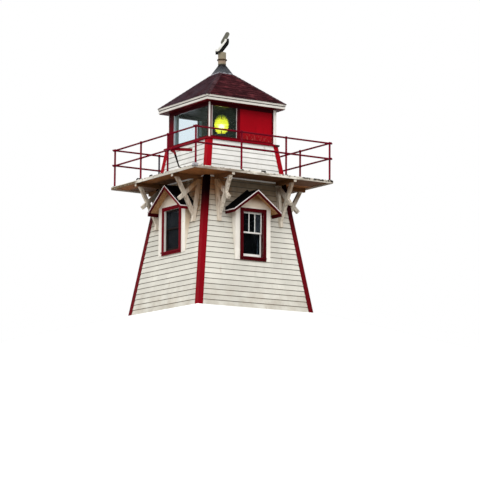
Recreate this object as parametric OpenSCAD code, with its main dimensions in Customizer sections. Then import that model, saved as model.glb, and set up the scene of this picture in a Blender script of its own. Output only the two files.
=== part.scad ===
// A small wooden harbour light: a hollow square tower with leaning clapboard
// walls, a railed gallery on timber brackets, gabled window dormers, and a
// glazed lantern under a square pyramid roof with a turning ventilator cowl.
// Millimetres, +Z up, origin on the ground at the centre of the tower.
// The front face looks along -Y and the left face along -X.

/* [Tower] */
// Half width over the corner boards at the ground
base_half = 1902; // [1400:1:2600]
// Inward lean of each wall for each unit of height
batter = 0.1534; // [0.05:0.0001:0.2]
// Thickness of a framed wall
wall_t = 140; // [80:1:220]
// Thickness of the corner boards, proud of the wall frame
trim_t = 22; // [12:1:40]
// Width of a corner board on each face
corner_w = 135; // [80:1:200]
// Height of the ground floor above the ground
ground_floor_z = 150; // [100:1:300]

/* [Gallery] */
// Top of the gallery deck
deck_top = 3751; // [3300:1:4200]
// Height of the leaning walls above the deck
parapet_h = 1020; // [700:1:1200]
// Half width of the gallery deck
deck_half = 2300; // [2000:1:2800]
// Thickness of the floor boards
board_t = 45; // [25:1:80]
// Depth of the board round the deck's edge
fascia_h = 88; // [60:1:160]
// Thickness of the board round the deck's edge
fascia_t = 30; // [18:1:50]
// Height of the frieze board under the deck
frieze_h = 42; // [30:1:140]
// How far the frieze board stands out from the wall frame
frieze_t = 30; // [24:1:60]

/* [Brackets] */
// Distance of the front and back brackets from the middle of their faces
bracket_x = 1025; // [700:1:1150]
// Distance of the wider-set bracket of each side face from the middle
bracket_x_wide = 1050; // [700:1:1150]
// Distance of the left face's other bracket from the middle
bracket_x_left = 950; // [700:1:1150]
// Distance of the right face's other bracket from the middle
bracket_x_right = 910; // [700:1:1150]
// Width of the bracket timbers
member_w = 90; // [60:1:140]
// Depth of the posts, braces and struts
member_d = 104; // [60:1:130]
// Depth of the beams under the deck
beam_h = 112; // [80:1:180]
// Length of a bracket post below the beam, with its pointed foot
post_len = 1199; // [900:1:1400]
// Distance of a brace's top end from the deck's edge
brace_in = 195; // [100:1:400]
// Drop from the beam to the point where a brace leaves its post
brace_drop = 954; // [700:1:1100]
// Distance of a strut's free end from the deck's edge
strut_in = 260; // [150:1:450]
// Drop from the beam to a strut's free end
strut_drop = 604; // [400:1:750]

/* [Railing] */
// Distance of the railing from the deck's edge
rail_inset = 75; // [50:1:200]
// Radius of a railing post
post_r = 24; // [15:1:40]
// Radius of a rail
rail_r = 21; // [12:1:36]
// Height of the top rail over the deck
top_rail_h = 1071; // [900:1:1200]
// Height of the middle rail over the deck
mid_rail_h = 627; // [400:1:750]
// How far the rails run on past the corner posts
rail_overrun = 80; // [50:1:150]
// Radius of a post's foot flange
flange_r = 58; // [45:1:90]
// Thickness of a post's foot flange
flange_t = 12; // [6:1:20]
// Wall thickness of the sleeves where rails meet a post
sleeve_t = 8; // [4:1:16]
// How far a sleeve runs on above and below a rail
sleeve_end = 4; // [2:1:20]
// How far a post runs on above the top rail
post_end = 10; // [6:1:60]

/* [Front and side windows] */
// Half width of the front window opening
front_open = 330; // [240:1:400]
// Bottom of the front window opening
front_sill_z = 1450; // [1200:1:1700]
// Height of the front window opening
front_open_h = 1262; // [900:1:1400]
// Half width of the front dormer
front_body = 582; // [480:1:700]
// Height of the front dormer's ridge above its window opening
front_gable_h = 606; // [400:1:800]
// Half width of the front dormer's roof
front_roof = 783; // [650:1:900]
// Half width of the side window openings
side_open = 415; // [300:1:460]
// How far the side windows stand to the right of the middle of their faces, seen from outside
side_shift = 62; // [0:1:120]
// Bottom of the side window openings
side_sill_z = 1680; // [1400:1:1900]
// Height of the side window openings
side_open_h = 1165; // [900:1:1300]
// Half width of the side dormers
side_body = 720; // [600:1:800]
// Height of the side dormers' ridges above their window openings
side_gable_h = 680; // [450:1:760]
// Half width of the side dormers' roofs
side_roof = 895; // [760:1:950]
// Width of the casing boards round an opening
casing_w = 100; // [60:1:140]
// Thickness of the casing boards
casing_t = 25; // [15:1:40]
// Height of the sill board under a window
sill_board_h = 40; // [25:1:70]
// How far the sill board stands out from the casing
sill_out = 24; // [10:1:50]
// Thickness of the boards of a dormer
dormer_t = 25; // [18:1:40]
// How far a dormer's front stands off the wall at the sill
dormer_off = 25; // [10:1:60]
// How far a dormer's roof runs on past its front
rake_out = 262; // [150:1:320]
// Height of a dormer's gable for each unit of half width
gable_pitch = 0.75; // [0.5:0.01:1]
// Thickness of a dormer's roof
dormer_roof_t = 32; // [20:1:50]
// Depth of the boards under a dormer roof's edges
rake_h = 80; // [50:1:120]
// Thickness of the boards under a dormer roof's edges
rake_t = 26; // [18:1:40]
// How far the window sashes are set back from the casing
sash_back = 86; // [40:1:120]
// Share of a window's height below the meeting rails
sash_split = 0.53; // [0.4:0.01:0.6]
// Width of a sash's rails and stiles
sash_w = 40; // [30:1:70]
// Height of the lower sash's bottom rail
sash_foot_h = 92; // [60:1:130]
// Thickness of a sash
sash_t = 36; // [25:1:50]
// Thickness of a pane
pane_t = 5; // [3:1:8]

/* [Entrance] */
// Half width of the doorway
door_half = 400; // [350:1:500]
// Height of the doorway over the ground floor
door_h = 1980; // [1800:1:2100]
// Thickness of the door
door_t = 44; // [30:1:60]
// Half width of the doorway's gabled porch box
porch_half = 600; // [520:1:700]
// Half width of the roof over the doorway
porch_roof = 783; // [650:1:900]
// Height of the ridge over the doorway
porch_gable_h = 779; // [600:1:900]

/* [Lantern] */
// Half width of the lantern over its frame
lantern_half = 1097; // [900:1:1200]
// How far the sill under the lantern stands out from its frame
sill_over = 108; // [60:1:160]
// Thickness of the sill
sill_t = 50; // [30:1:80]
// Height of the lantern's bottom rail
bottom_rail_h = 62; // [40:1:100]
// Height of the lantern from sill to eave
lantern_h = 1010; // [900:1:1300]
// Height of the frieze at the top of the lantern
head_h = 86; // [60:1:160]
// Width of a lantern corner post
lantern_post_w = 75; // [60:1:140]
// Thickness of the lantern's frame
frame_t = 90; // [60:1:130]
// Radius of the lens
lens_r = 215; // [120:1:300]
// Height of the lens
lens_h = 570; // [300:1:700]
// Radius of the lens's curved outline
lens_curve = 400; // [300:1:900]
// Height of the middle of the lens above the sill
lens_up = 684; // [500:1:800]
// Width of the front glazing
front_glass_w = 849; // [500:1:1000]
// Width of the upright between the front glazing and the panel
front_post_w = 98; // [80:1:260]
// Width of the jamb at the far side of the left glazing
left_jamb_w = 195; // [80:1:300]
// Width of the jamb beside the back glazing
back_jamb_w = 205; // [80:1:300]
// Width of the back glazing
back_glass_w = 680; // [400:1:1000]
// Width of the upright between the back glazing and the panel
back_post_w = 100; // [60:1:200]
// Width of the upright in the middle of the right side
right_post_w = 100; // [60:1:200]
// Thickness of the closed panels
panel_t = 40; // [20:1:60]
// Thickness of the lantern's glass
lantern_glass_t = 6; // [4:1:12]
// Width of the trim at the left end of the front
trim_narrow = 40; // [30:1:90]
// Width of the other corner trims
trim_wide = 62; // [40:1:150]
// Width of the front trims on the side faces
trim_edge = 26; // [20:1:60]
// Thickness of the corner trims
corner_trim_t = 18; // [10:1:30]
// How far the thick board at the front end of the right side stands out
side_board_out = 62; // [40:1:90]
// Width of that board
side_board_w = 90; // [60:1:140]
// Radius of the lens pedestal's stem
stem_r = 105; // [60:1:160]
// Thickness of the plates of the pedestal
plate_t = 40; // [20:1:60]

/* [Roof] */
// How far the eave stands out from the lantern's frame
eave_over = 236; // [180:1:320]
// Height of the eave boards
eave_h = 166; // [90:1:220]
// Height of the upper eave board
eave_upper_h = 76; // [40:1:110]
// Step between the upper and the lower eave board
eave_step = 14; // [5:1:30]
// Thickness of the eave boards
eave_t = 30; // [18:1:50]
// Thickness of the soffit and ceiling boards
soffit_t = 22; // [12:1:40]
// Rise of the roof for each unit of run
roof_pitch = 0.844; // [0.6:0.001:1.1]
// Thickness of the roof
roof_t = 60; // [40:1:100]
// Half width of the flashing at the roof's top
cap_half = 242; // [180:1:320]
// Height of the flashing
cap_h = 282; // [200:1:400]
// How far the flashing's top corners reach beyond the pipe
cap_neck = 8; // [4:1:40]
// Outer radius of the flue pipe
pipe_r = 115; // [70:1:150]
// Wall thickness of the flue pipe
pipe_t = 5; // [2:1:10]
// Height of the flue pipe above the flashing
pipe_h = 384; // [250:1:600]
// Radius of the collar on the pipe
collar_r = 144; // [110:1:180]
// Height of the collar above the flashing
collar_up = 166; // [60:1:300]
// Height of the collar itself
collar_h = 24; // [12:1:50]
// Drop from the pipe's top to the bar that carries the cowl
bridge_drop = 70; // [50:1:120]
// Height of that bar
bridge_h = 40; // [25:1:60]
// Width of that bar
bridge_w = 44; // [40:1:80]

/* [Cowl] */
// Direction in which the cowl's high end points
cowl_turn = -33; // [-180:1:180]
// Height of the hood's high end above the pipe
hood_h = 384; // [250:1:500]
// Height of the fin's tip above the hood
fin_up = 232; // [100:1:350]
// Width of the hood
hood_w = 260; // [220:1:300]
// Thickness of the hood's sheet
hood_t = 8; // [4:1:14]
// Reach of the hood's low lip from the axis
hood_reach = 192; // [150:1:240]
// Length of the level part of the low lip
lip_len = 47; // [20:1:80]
// Radius of the bend above the low lip
low_bend_r = 95; // [60:1:140]
// Radius of the bend at the hood's high end
high_bend_r = 150; // [80:1:220]
// Slope of the hood's blade in degrees
hood_slope = 53; // [40:1:60]
// Further turn of the blade at its high end in degrees
hood_curl = 44; // [20:1:60]
// Depth of the hood's cheeks
cheek_d = 62; // [30:1:80]
// Depth of the cheeks at the low lip
lip_cheek_d = 30; // [15:1:60]
// Height of the pale rims along the blade's edges
rim_h = 58; // [15:1:80]
// Width of the fin
fin_w = 124; // [70:1:150]
// Length of the fin
fin_len = 400; // [250:1:500]
// Slope of the fin in degrees
fin_slope = 62; // [50:1:80]
// Reach of the fin's round top from the axis
fin_reach = 148; // [80:1:200]
// Thickness of the fin
fin_t = 8; // [4:1:12]
// Height of the strap that joins the fin to the blade
strap_h = 40; // [20:1:80]
// Drop from the hood's high end to the strap
strap_drop = 20; // [0:1:60]
// Thickness of the cheeks
cheek_t = 5; // [3:1:10]
// Radius of the spindle
spindle_r = 11; // [8:1:16]
// Radial clearance of the spindle in its socket
spindle_gap = 0.05; // [0.02:0.01:0.1]
// Clearance between the turning hood and the pipe's rim
cowl_gap = 8; // [6:1:20]

/* [Loose rail arm] */
// Distance of the arm's clamp from the front end of the left middle rail
arm_from_corner = 1255; // [1200:1:1350]
// Length of the flat bar
arm_len = 1030; // [700:1:1100]
// Depth of the flat bar
arm_h = 80; // [30:1:100]
// Thickness of the flat bar
arm_t = 14; // [8:1:20]
// Drop of the bar's free end
arm_drop = 186; // [0:1:300]
// Length of the arm's clamp round the rail
clamp_len = 70; // [40:1:120]
// Wall thickness of the clamp
clamp_t = 9; // [5:1:20]
// Radius of the thin rod that hangs from the bar
rod_r = 13; // [5:1:18]
// Distance along the rail from the clamp to the rod's head
rod_head = 60; // [20:1:200]
// Distance along the rail from the clamp to the rod's knee
rod_knee = 330; // [150:1:500]
// Height of the rod's knee over the deck
rod_knee_h = 80; // [40:1:200]
// Distance along the rail from the clamp to the rod's foot
rod_foot_out = 480; // [350:1:700]
// Reach of the plate under the clamp behind it
gusset_back = 118; // [60:1:160]
// Depth of that plate at its back end
gusset_heel = 44; // [20:1:80]
// Depth of that plate at the rod's head
gusset_drop = 128; // [80:1:180]

/* [Hidden] */
$fn = 48;

// Clearance between pieces that sit against each other
seat = 0.3;
// Overshoot of cutting shapes
cut = 20;
// Reach of shapes that run right across the tower
far = 3 * base_half;
white = [0.88, 0.87, 0.83];
red = [0.55, 0.05, 0.13];
dark_red = [0.4, 0.03, 0.08];
brown = [0.4, 0.28, 0.16];
glass = [0.1, 0.12, 0.14, 0.6];
steel = [0.36, 0.38, 0.42];
rust = [0.58, 0.54, 0.46];

sill_half = lantern_half + sill_over;
eave_half = lantern_half + eave_over;
wall_top = deck_top + parapet_h;
frame_z = wall_top + sill_t;
glass_z = frame_z + bottom_rail_h;
eave_z = frame_z + lantern_h;
head_z = eave_z - head_h;
lens_z = frame_z + lens_up;
roof_z = eave_z + eave_h;
cap_z = roof_z + (eave_half - cap_half) * roof_pitch;
cap_top = cap_z + cap_h;
pipe_top = cap_top + pipe_h;
hood_top = pipe_top + hood_h;
fin_top = hood_top + fin_up;
deck_low = deck_top - board_t;
frieze_top = deck_low;
beam_low = deck_low - beam_h;
post_foot_z = beam_low - post_len;
brace_top_d = deck_half - brace_in;
brace_foot_z = beam_low - brace_drop;
strut_end_d = deck_half - strut_in;
strut_end_z = beam_low - strut_drop;
rail_half = deck_half - rail_inset;
rail_third = rail_half / 3;
front_apex_z = front_sill_z + front_open_h + front_gable_h;
side_apex_z = side_sill_z + side_open_h + side_gable_h;
porch_apex_z = ground_floor_z + door_h + porch_gable_h;

// Half width at height z, measured `out` beyond the corner boards
function half_at(z, out = 0) = base_half - batter * z + out;

// Trapezoid that follows the leaning sides between two heights
module lean(out, z0, z1)
    polygon([[-half_at(z0, out), z0], [half_at(z0, out), z0],
        [half_at(z1, out), z1], [-half_at(z1, out), z1]]);

// Solid battered square tower between two heights
module battered(out, z0, z1)
    intersection() {
        rotate([90, 0, 0]) linear_extrude(2 * far, center = true) lean(out, z0, z1);
        rotate([90, 0, 90]) linear_extrude(2 * far, center = true) lean(out, z0, z1);
    }

// Square pyramid frustum of any slope
module frustum(half0, z0, half1, z1) {
    module side() polygon([[-half0, z0], [half0, z0], [half1, z1], [-half1, z1]]);
    intersection() {
        rotate([90, 0, 0]) linear_extrude(2 * far, center = true) side();
        rotate([90, 0, 90]) linear_extrude(2 * far, center = true) side();
    }
}

// Faces are numbered front 0, right 1, back 2 and left 3
module on_face(k) rotate([0, 0, 90 * k]) children();

// Quarter of the plan that holds one face
module quarter(z0, z1)
    translate([0, 0, z0]) linear_extrude(z1 - z0)
        polygon([[0, 0], [-far, -far], [far, -far]]);

// Square box shell
module square_ring(outer, inner, z0, z1)
    difference() {
        translate([-outer, -outer, z0]) cube([2 * outer, 2 * outer, z1 - z0]);
        translate([-inner, -inner, z0 - cut]) cube([2 * inner, 2 * inner, z1 - z0 + 2 * cut]);
    }

// Profile drawn outward from the axis, as a slab across the front face
module outward(x, w) translate([x + w / 2, 0, 0]) rotate([90, 0, -90]) linear_extrude(w) children();

// Profile seen from outside, as a slab between two distances from the axis
module facing(d0, d1) translate([0, -d0, 0]) rotate([90, 0, 0]) linear_extrude(d1 - d0) children();

// Walls and floors

module wall(k)
    on_face(k) difference() {
        intersection() {
            battered(-trim_t, 0, wall_top);
            quarter(0, wall_top);
        }
        battered(-trim_t - wall_t, -cut, wall_top + cut);
        children();
    }

module wall_opening(open_half, z0, h, shift)
    facing(0, far) translate([shift - open_half, z0]) square([2 * open_half, h]);

module front_wall() color(white) wall(0) wall_opening(front_open, front_sill_z, front_open_h, 0);
module right_wall() color(white) wall(1) wall_opening(side_open, side_sill_z, side_open_h, side_shift);
module left_wall() color(white) wall(3) wall_opening(side_open, side_sill_z, side_open_h, side_shift);
module back_wall() color(white) wall(2) wall_opening(door_half, -cut, ground_floor_z + door_h + cut, 0);

module corner_boards() color(red)
    difference() {
        battered(0, 0, wall_top);
        battered(seat - trim_t, -cut, wall_top + cut);
        rotate([90, 0, 0]) linear_extrude(2 * far, center = true) lean(-corner_w, -cut, wall_top + cut);
        rotate([90, 0, 90]) linear_extrude(2 * far, center = true) lean(-corner_w, -cut, wall_top + cut);
    }

module frieze_boards() color(white)
    for (k = [0:3]) on_face(k) difference() {
        intersection() {
            battered(frieze_t - trim_t, frieze_top - frieze_h, frieze_top);
            quarter(0, wall_top);
            rotate([90, 0, 0]) linear_extrude(2 * far, center = true)
                lean(-corner_w - seat, frieze_top - frieze_h - cut, frieze_top + cut);
        }
        battered(seat - trim_t, 0, wall_top);
        for (x = bracket_places(k))
            translate([x - member_w / 2 - seat, -far, 0]) cube([member_w + 2 * seat, far, wall_top]);
    }

module ground_floor() color(brown)
    battered(-trim_t - wall_t - seat, 0, ground_floor_z);

module lantern_floor() color(brown)
    battered(-trim_t - wall_t - seat, deck_low, deck_top);

module gallery_deck() color(brown)
    difference() {
        translate([-deck_half + fascia_t, -deck_half + fascia_t, deck_low])
            cube([2 * (deck_half - fascia_t), 2 * (deck_half - fascia_t), board_t]);
        battered(seat, deck_low - cut, deck_top + cut);
    }

module deck_fascia() color(white)
    square_ring(deck_half, deck_half - fascia_t + seat, deck_top - fascia_h, deck_top);

// Brackets

function bracket_places(k) = k == 1 ? [-bracket_x_right, bracket_x_wide]
    : k == 3 ? [-bracket_x_left, bracket_x_wide]
    : [-bracket_x, bracket_x];

// Slab of timber from one point to another, in the outward profile
module timber(d0, z0, d1, z1, ext0 = 0, ext1 = 0)
    translate([d0, z0]) rotate(atan2(z1 - z0, d1 - d0))
        translate([-ext0, -member_d / 2])
            square([norm([d1 - d0, z1 - z0]) + ext0 + ext1, member_d]);

// Everything inside the wall frame or inside the posts, for trimming profiles
module behind(out)
    polygon([[0, 0], [half_at(0, out), 0], [half_at(wall_top, out), wall_top], [0, wall_top]]);

post_face = member_d - trim_t;
brace_foot_d = half_at(brace_foot_z, post_face);
strut_top_z = beam_low - member_d / 2;

module brace_profile()
    difference() {
        timber(brace_foot_d, brace_foot_z, brace_top_d, beam_low, 2 * member_d, 2 * member_d);
        behind(post_face + seat);
        translate([0, beam_low - seat]) square([far, beam_h * 3]);
    }

module strut_profile()
    difference() {
        timber(half_at(strut_top_z, post_face), strut_top_z, strut_end_d, strut_end_z, 2 * member_d, 0);
        behind(post_face + seat);
        translate([0, beam_low - seat]) square([far, beam_h * 3]);
        timber(brace_foot_d - seat * 2, brace_foot_z, brace_top_d - seat * 2, beam_low, far, far);
        timber(brace_foot_d + seat * 2, brace_foot_z, brace_top_d + seat * 2, beam_low, far, far);
    }

module at_brackets() for (k = [0:3]) on_face(k) for (x = bracket_places(k)) outward(x, member_w) children();

module bracket_beams() color(white)
    at_brackets() difference() {
        translate([0, beam_low]) square([deck_half - fascia_t - seat, beam_h]);
        behind(seat);
    }

module bracket_posts() color(white)
    at_brackets() difference() {
        intersection() {
            behind(post_face);
            polygon([[0, post_foot_z + member_d], [half_at(post_foot_z, 0), post_foot_z],
                [far, post_foot_z + member_d], [far, beam_low - seat], [0, beam_low - seat]]);
        }
        behind(seat - trim_t);
    }

module bracket_braces() color(white) at_brackets() brace_profile();
module bracket_struts() color(white) at_brackets() strut_profile();

// Railing

post_places = [for (k = [0:3]) for (i = [0:2])
    let (s = -rail_half + 2 * rail_third * i)
    k == 0 ? [s, -rail_half] : k == 1 ? [rail_half, s] : k == 2 ? [-s, rail_half] : [-rail_half, -s]];
post_top = deck_top + top_rail_h + rail_r + post_end;
sleeve_r = post_r + sleeve_t;

module rail_posts() color(red)
    for (p = post_places) translate([p[0], p[1], deck_top]) {
        cylinder(r = flange_r, h = flange_t);
        cylinder(r = post_r, h = post_top - deck_top);
        translate([0, 0, post_top - deck_top]) intersection() {
            translate([0, 0, -post_r]) sphere(r = post_r * sqrt(2));
            cylinder(r = post_r - seat, h = post_r);
        }
    }

// The rails of all four sides at one height, with a sleeve at each post
module rail_square(z)
    difference() {
        union() {
            for (k = [0:3]) on_face(k)
                translate([-rail_half - rail_overrun, -rail_half, z]) rotate([0, 90, 0])
                    cylinder(r = rail_r, h = 2 * (rail_half + rail_overrun));
            for (p = post_places) translate([p[0], p[1], z - rail_r - sleeve_end])
                cylinder(r = sleeve_r, h = 2 * (rail_r + sleeve_end));
        }
        for (p = post_places) translate([p[0], p[1], deck_top]) cylinder(r = post_r + seat, h = post_top);
    }

module side_rails(k) color(red)
    for (h = [mid_rail_h, top_rail_h]) intersection() {
        rail_square(deck_top + h);
        on_face(k) quarter(deck_top, post_top + cut);
    }

module front_rails() side_rails(0);
module right_rails() side_rails(1);
module back_rails() side_rails(2);
module left_rails() side_rails(3);

arm_y = arm_from_corner - rail_half;
arm_x = rail_r + 2 * seat;
arm_z = deck_top + mid_rail_h;
rod_top = [arm_y - rod_head, arm_z - 2 * rod_r];
rod_bend = [arm_y - rod_knee, deck_top + rod_knee_h];
rod_foot = [arm_y - rod_foot_out, deck_top + rod_r * sqrt(2) + seat];

// Straight run of the thin rod between two [y, z] points
module rod_run(p0, p1)
    translate(p0) rotate(atan2(p1[1] - p0[1], p1[0] - p0[0]))
        translate([-rod_r, -rod_r]) square([norm(p1 - p0) + 2 * rod_r, 2 * rod_r]);

// Plate that hangs from the clamp to the rod's head
module gusset() {
    front = arm_y - rod_head - rod_r;
    back = arm_y + gusset_back;
    top = arm_z + clamp_t;
    polygon([[front, top], [front, arm_z - gusset_drop], [back, arm_z - gusset_heel], [back, top]]);
}

module rail_arm() color(red)
    translate([-rail_half, 0, 0]) difference() {
        union() {
            translate([0, arm_y + clamp_len / 2, arm_z]) rotate([90, 0, 0])
                cylinder(r = rail_r + clamp_t, h = clamp_len);
            translate([arm_x, 0, 0]) rotate([90, 0, 90]) linear_extrude(arm_t) {
                translate([arm_y, arm_z]) rotate(atan2(arm_drop, arm_len))
                    translate([-arm_len, -arm_h / 2]) square([arm_len, arm_h]);
                gusset();
                rod_run(rod_top, rod_bend);
                rod_run(rod_bend, rod_foot);
            }
        }
        translate([0, arm_y + clamp_len, arm_z]) rotate([90, 0, 0])
            cylinder(r = rail_r + seat, h = 2 * clamp_len);
    }

// Dormers and windows

// Each dormer is [face, opening half, opening bottom, opening height, body half, apex height, roof half,
// place of its middle along the face]
dormers = [[0, front_open, front_sill_z, front_open_h, front_body, front_apex_z, front_roof, 0],
    [1, side_open, side_sill_z, side_open_h, side_body, side_apex_z, side_roof, side_shift],
    [3, side_open, side_sill_z, side_open_h, side_body, side_apex_z, side_roof, side_shift]];
porch = [2, door_half, ground_floor_z, door_h, porch_half, porch_apex_z, porch_roof, 0];
gabled = concat(dormers, [porch]);

module at_dormer(d) on_face(d[0]) translate([d[7], 0, 0]) children();

// Distance of a dormer's boarded front from the axis
function front_of(d) = half_at(d[2] - casing_w, dormer_off - trim_t);
// Height of the low edge of a dormer's roof
function low_of(d) = d[5] - d[6] * gable_pitch;

// V-shaped band under the gable line, from `top` to `deep` below it, inside a half width
module gable_band(d, top, deep, side) {
    foot = d[5] - side * gable_pitch;
    polygon([[-side, foot - top], [0, d[5] - top], [side, foot - top],
        [side, foot - deep], [0, d[5] - deep], [-side, foot - deep]]);
}

// Five-sided front of a dormer below its roof, inset by t
module gable_front(d, t)
    polygon([[-d[4] + t, bottom_of(d) + t], [d[4] - t, bottom_of(d) + t],
        [d[4] - t, d[5] - d[4] * gable_pitch - dormer_roof_t - t / 2],
        [0, d[5] - dormer_roof_t - t * 1.25],
        [-d[4] + t, d[5] - d[4] * gable_pitch - dormer_roof_t - t / 2]]);

function bottom_of(d) = d[0] == 2 ? 0 : d[2] - casing_w;

module opening_of(d, grow = 0)
    translate([-d[1] - grow, d[2] - grow]) square([2 * (d[1] + grow), d[3] + 2 * grow]);

module dormer_bodies() color(white)
    for (d = gabled) at_dormer(d) difference() {
        facing(0, front_of(d)) gable_front(d, 0);
        facing(-cut, front_of(d) - dormer_t) gable_front(d, dormer_t);
        facing(0, far) opening_of(d);
        battered(seat - trim_t, -cut, wall_top);
        if (d[0] == 2) battered(seat, -cut, wall_top);
    }

module dormer_roofs() color(steel)
    for (d = gabled) at_dormer(d) difference() {
        facing(0, front_of(d) + rake_out) gable_band(d, 0, dormer_roof_t, d[6]);
        battered(seat - trim_t, 0, wall_top);
    }

module dormer_rakes() color(dark_red)
    for (d = gabled) at_dormer(d) difference() {
        facing(0, front_of(d) + rake_out) gable_band(d, dormer_roof_t, dormer_roof_t + rake_h, d[6]);
        facing(-cut, front_of(d) + rake_out - rake_t)
            translate([-d[6] + rake_t, 0]) square([2 * (d[6] - rake_t), wall_top]);
        battered(seat - trim_t, 0, wall_top);
    }

module window_casings() color(dark_red)
    for (d = dormers) at_dormer(d) difference() {
        union() {
            facing(front_of(d), front_of(d) + casing_t) opening_of(d, casing_w);
            facing(front_of(d), front_of(d) + casing_t + sill_out)
                translate([-d[1] - casing_w, d[2] - sill_board_h])
                    square([2 * (d[1] + casing_w), sill_board_h]);
        }
        facing(0, far) opening_of(d);
    }

// Frame of one sash with a bottom rail of its own height
module sash(x, z, w, h, foot_h)
    difference() {
        translate([x, z]) square([w, h]);
        translate([x + sash_w, z + foot_h]) square([w - 2 * sash_w, h - sash_w - foot_h]);
    }

function sash_d(d) = front_of(d) + casing_t - sash_back;
// Height of the foot of the upper sash
function meeting_of(d) = d[2] + d[3] * sash_split;

module upper_sashes() color(white)
    for (d = dormers) at_dormer(d) facing(sash_d(d) - sash_t, sash_d(d))
        sash(-d[1] + seat, meeting_of(d), 2 * (d[1] - seat), d[2] + d[3] - meeting_of(d) - seat, sash_w);

module lower_sashes() color(white)
    for (d = dormers) at_dormer(d) facing(sash_d(d) - 2 * sash_t - seat, sash_d(d) - sash_t - seat)
        sash(-d[1] + seat, d[2] + seat, 2 * (d[1] - seat), meeting_of(d) - d[2] + sash_w - seat,
            sash_foot_h);

module window_glass() color(glass)
    for (d = dormers) at_dormer(d) {
        w = 2 * (d[1] - sash_w - 2 * seat);
        upper_mid = sash_d(d) - sash_t / 2;
        lower_mid = sash_d(d) - sash_t * 1.5;
        facing(upper_mid - pane_t / 2, upper_mid + pane_t / 2)
            translate([-w / 2, meeting_of(d) + sash_w + seat])
                square([w, d[2] + d[3] - meeting_of(d) - 2 * sash_w - 3 * seat]);
        facing(lower_mid - pane_t / 2, lower_mid + pane_t / 2)
            translate([-w / 2, d[2] + sash_foot_h + 2 * seat])
                square([w, meeting_of(d) - d[2] - sash_foot_h - 3 * seat]);
    }

module entrance_frame() color(dark_red)
    on_face(porch[0]) difference() {
        facing(front_of(porch), front_of(porch) + casing_t) translate([-door_half - casing_w, 0])
            square([2 * (door_half + casing_w), ground_floor_z + door_h + casing_w]);
        facing(0, far) opening_of(porch);
    }

module entrance_door() color(red)
    on_face(porch[0]) facing(sash_d(porch), sash_d(porch) + door_t)
        translate([-door_half + seat, ground_floor_z + seat])
            square([2 * (door_half - seat), door_h - 2 * seat]);

// Lantern

module lantern_sill() color(red)
    square_ring(sill_half, lantern_half - frame_t, wall_top, frame_z);

pane_lo = lantern_post_w - lantern_half;
pane_hi = -pane_lo;
front_post_x = pane_lo + front_glass_w;
back_glass_hi = pane_hi - back_jamb_w;
back_glass_lo = back_glass_hi - back_glass_w;

// Uprights that divide the lantern's faces, each [face, left edge, width]
uprights = [[0, front_post_x, front_post_w], [1, -right_post_w / 2, right_post_w],
    [2, back_glass_hi, back_jamb_w], [2, back_glass_lo - back_post_w, back_post_w],
    [3, pane_lo, left_jamb_w]];
// Closed panels and sheets of glass, each [face, left edge, right edge]
panels = [[0, front_post_x + front_post_w, pane_hi], [1, pane_lo, -right_post_w / 2],
    [1, right_post_w / 2, pane_hi], [2, pane_lo, back_glass_lo - back_post_w]];
panes = [[0, pane_lo, front_post_x], [2, back_glass_lo, back_glass_hi],
    [3, pane_lo + left_jamb_w, pane_hi]];

module lantern_frame() color(dark_red) {
    square_ring(lantern_half, lantern_half - frame_t, frame_z, glass_z);
    square_ring(lantern_half, lantern_half - frame_t, head_z, eave_z);
    for (k = [0:3]) on_face(k)
        translate([-lantern_half, -lantern_half, frame_z])
            cube([lantern_post_w, lantern_post_w, lantern_h]);
    for (u = uprights) on_face(u[0])
        translate([u[1], -lantern_half, frame_z]) cube([u[2], frame_t, lantern_h]);
}

// Angle trim round a front corner of the lantern, a wide along the front and trim_edge along the side
module corner_trim(a)
    translate([-corner_trim_t - seat, -corner_trim_t - seat, frame_z + seat]) difference() {
        cube([a, trim_edge, lantern_h - 2 * seat]);
        translate([corner_trim_t, corner_trim_t, -cut]) cube([2 * a, trim_edge, lantern_h + cut]);
    }

// Flat trim board on the lantern's back, from one end at x
module back_trim(x)
    translate([x, lantern_half + seat, frame_z + seat])
        cube([trim_wide, corner_trim_t, lantern_h - 2 * seat]);

module lantern_trims() color(white) {
    translate([-lantern_half, -lantern_half, 0]) corner_trim(trim_narrow);
    translate([lantern_half, -lantern_half, 0]) {
        mirror([1, 0, 0]) corner_trim(trim_wide);
        translate([seat, 0, frame_z + seat]) cube([side_board_out, side_board_w, lantern_h - 2 * seat]);
    }
    back_trim(-lantern_half);
    back_trim(lantern_half - trim_wide);
}

// Sheet that closes a bay of the lantern, [face, left edge, right edge], t thick
module infill(bay, t)
    on_face(bay[0]) translate([bay[1] + seat, -lantern_half + (frame_t - t) / 2, glass_z + seat])
        cube([bay[2] - bay[1] - 2 * seat, t, head_z - glass_z - 2 * seat]);

module lantern_panels() color(red) for (bay = panels) infill(bay, panel_t);
module lantern_glass() color(glass) for (bay = panes) infill(bay, lantern_glass_t);

module lantern_ceiling() color(dark_red)
    translate([-lantern_half, -lantern_half, eave_z + seat])
        cube([2 * lantern_half, 2 * lantern_half, soffit_t]);

module lens_pedestal() color(steel)
    translate([0, 0, deck_top]) {
        cylinder(r = lens_r, h = plate_t);
        cylinder(r = stem_r, h = lens_z - lens_h / 2 - deck_top - plate_t);
        translate([0, 0, lens_z - lens_h / 2 - deck_top - plate_t])
            cylinder(r = lens_r, h = plate_t - seat);
    }

// Barrel-shaped lens, widest at its middle
module lens() color([0.95, 0.95, 0.3])
    translate([0, 0, lens_z]) rotate_extrude()
        intersection() {
            translate([0, -lens_h / 2]) square([lens_r, lens_h]);
            translate([lens_r - lens_curve, 0]) circle(r = lens_curve);
        }

// Roof

module eave_boards() color(white) {
    square_ring(eave_half, eave_half - eave_t, roof_z - eave_upper_h, roof_z - seat);
    square_ring(eave_half - eave_step, eave_half - eave_t, eave_z, roof_z - eave_upper_h);
}

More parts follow.
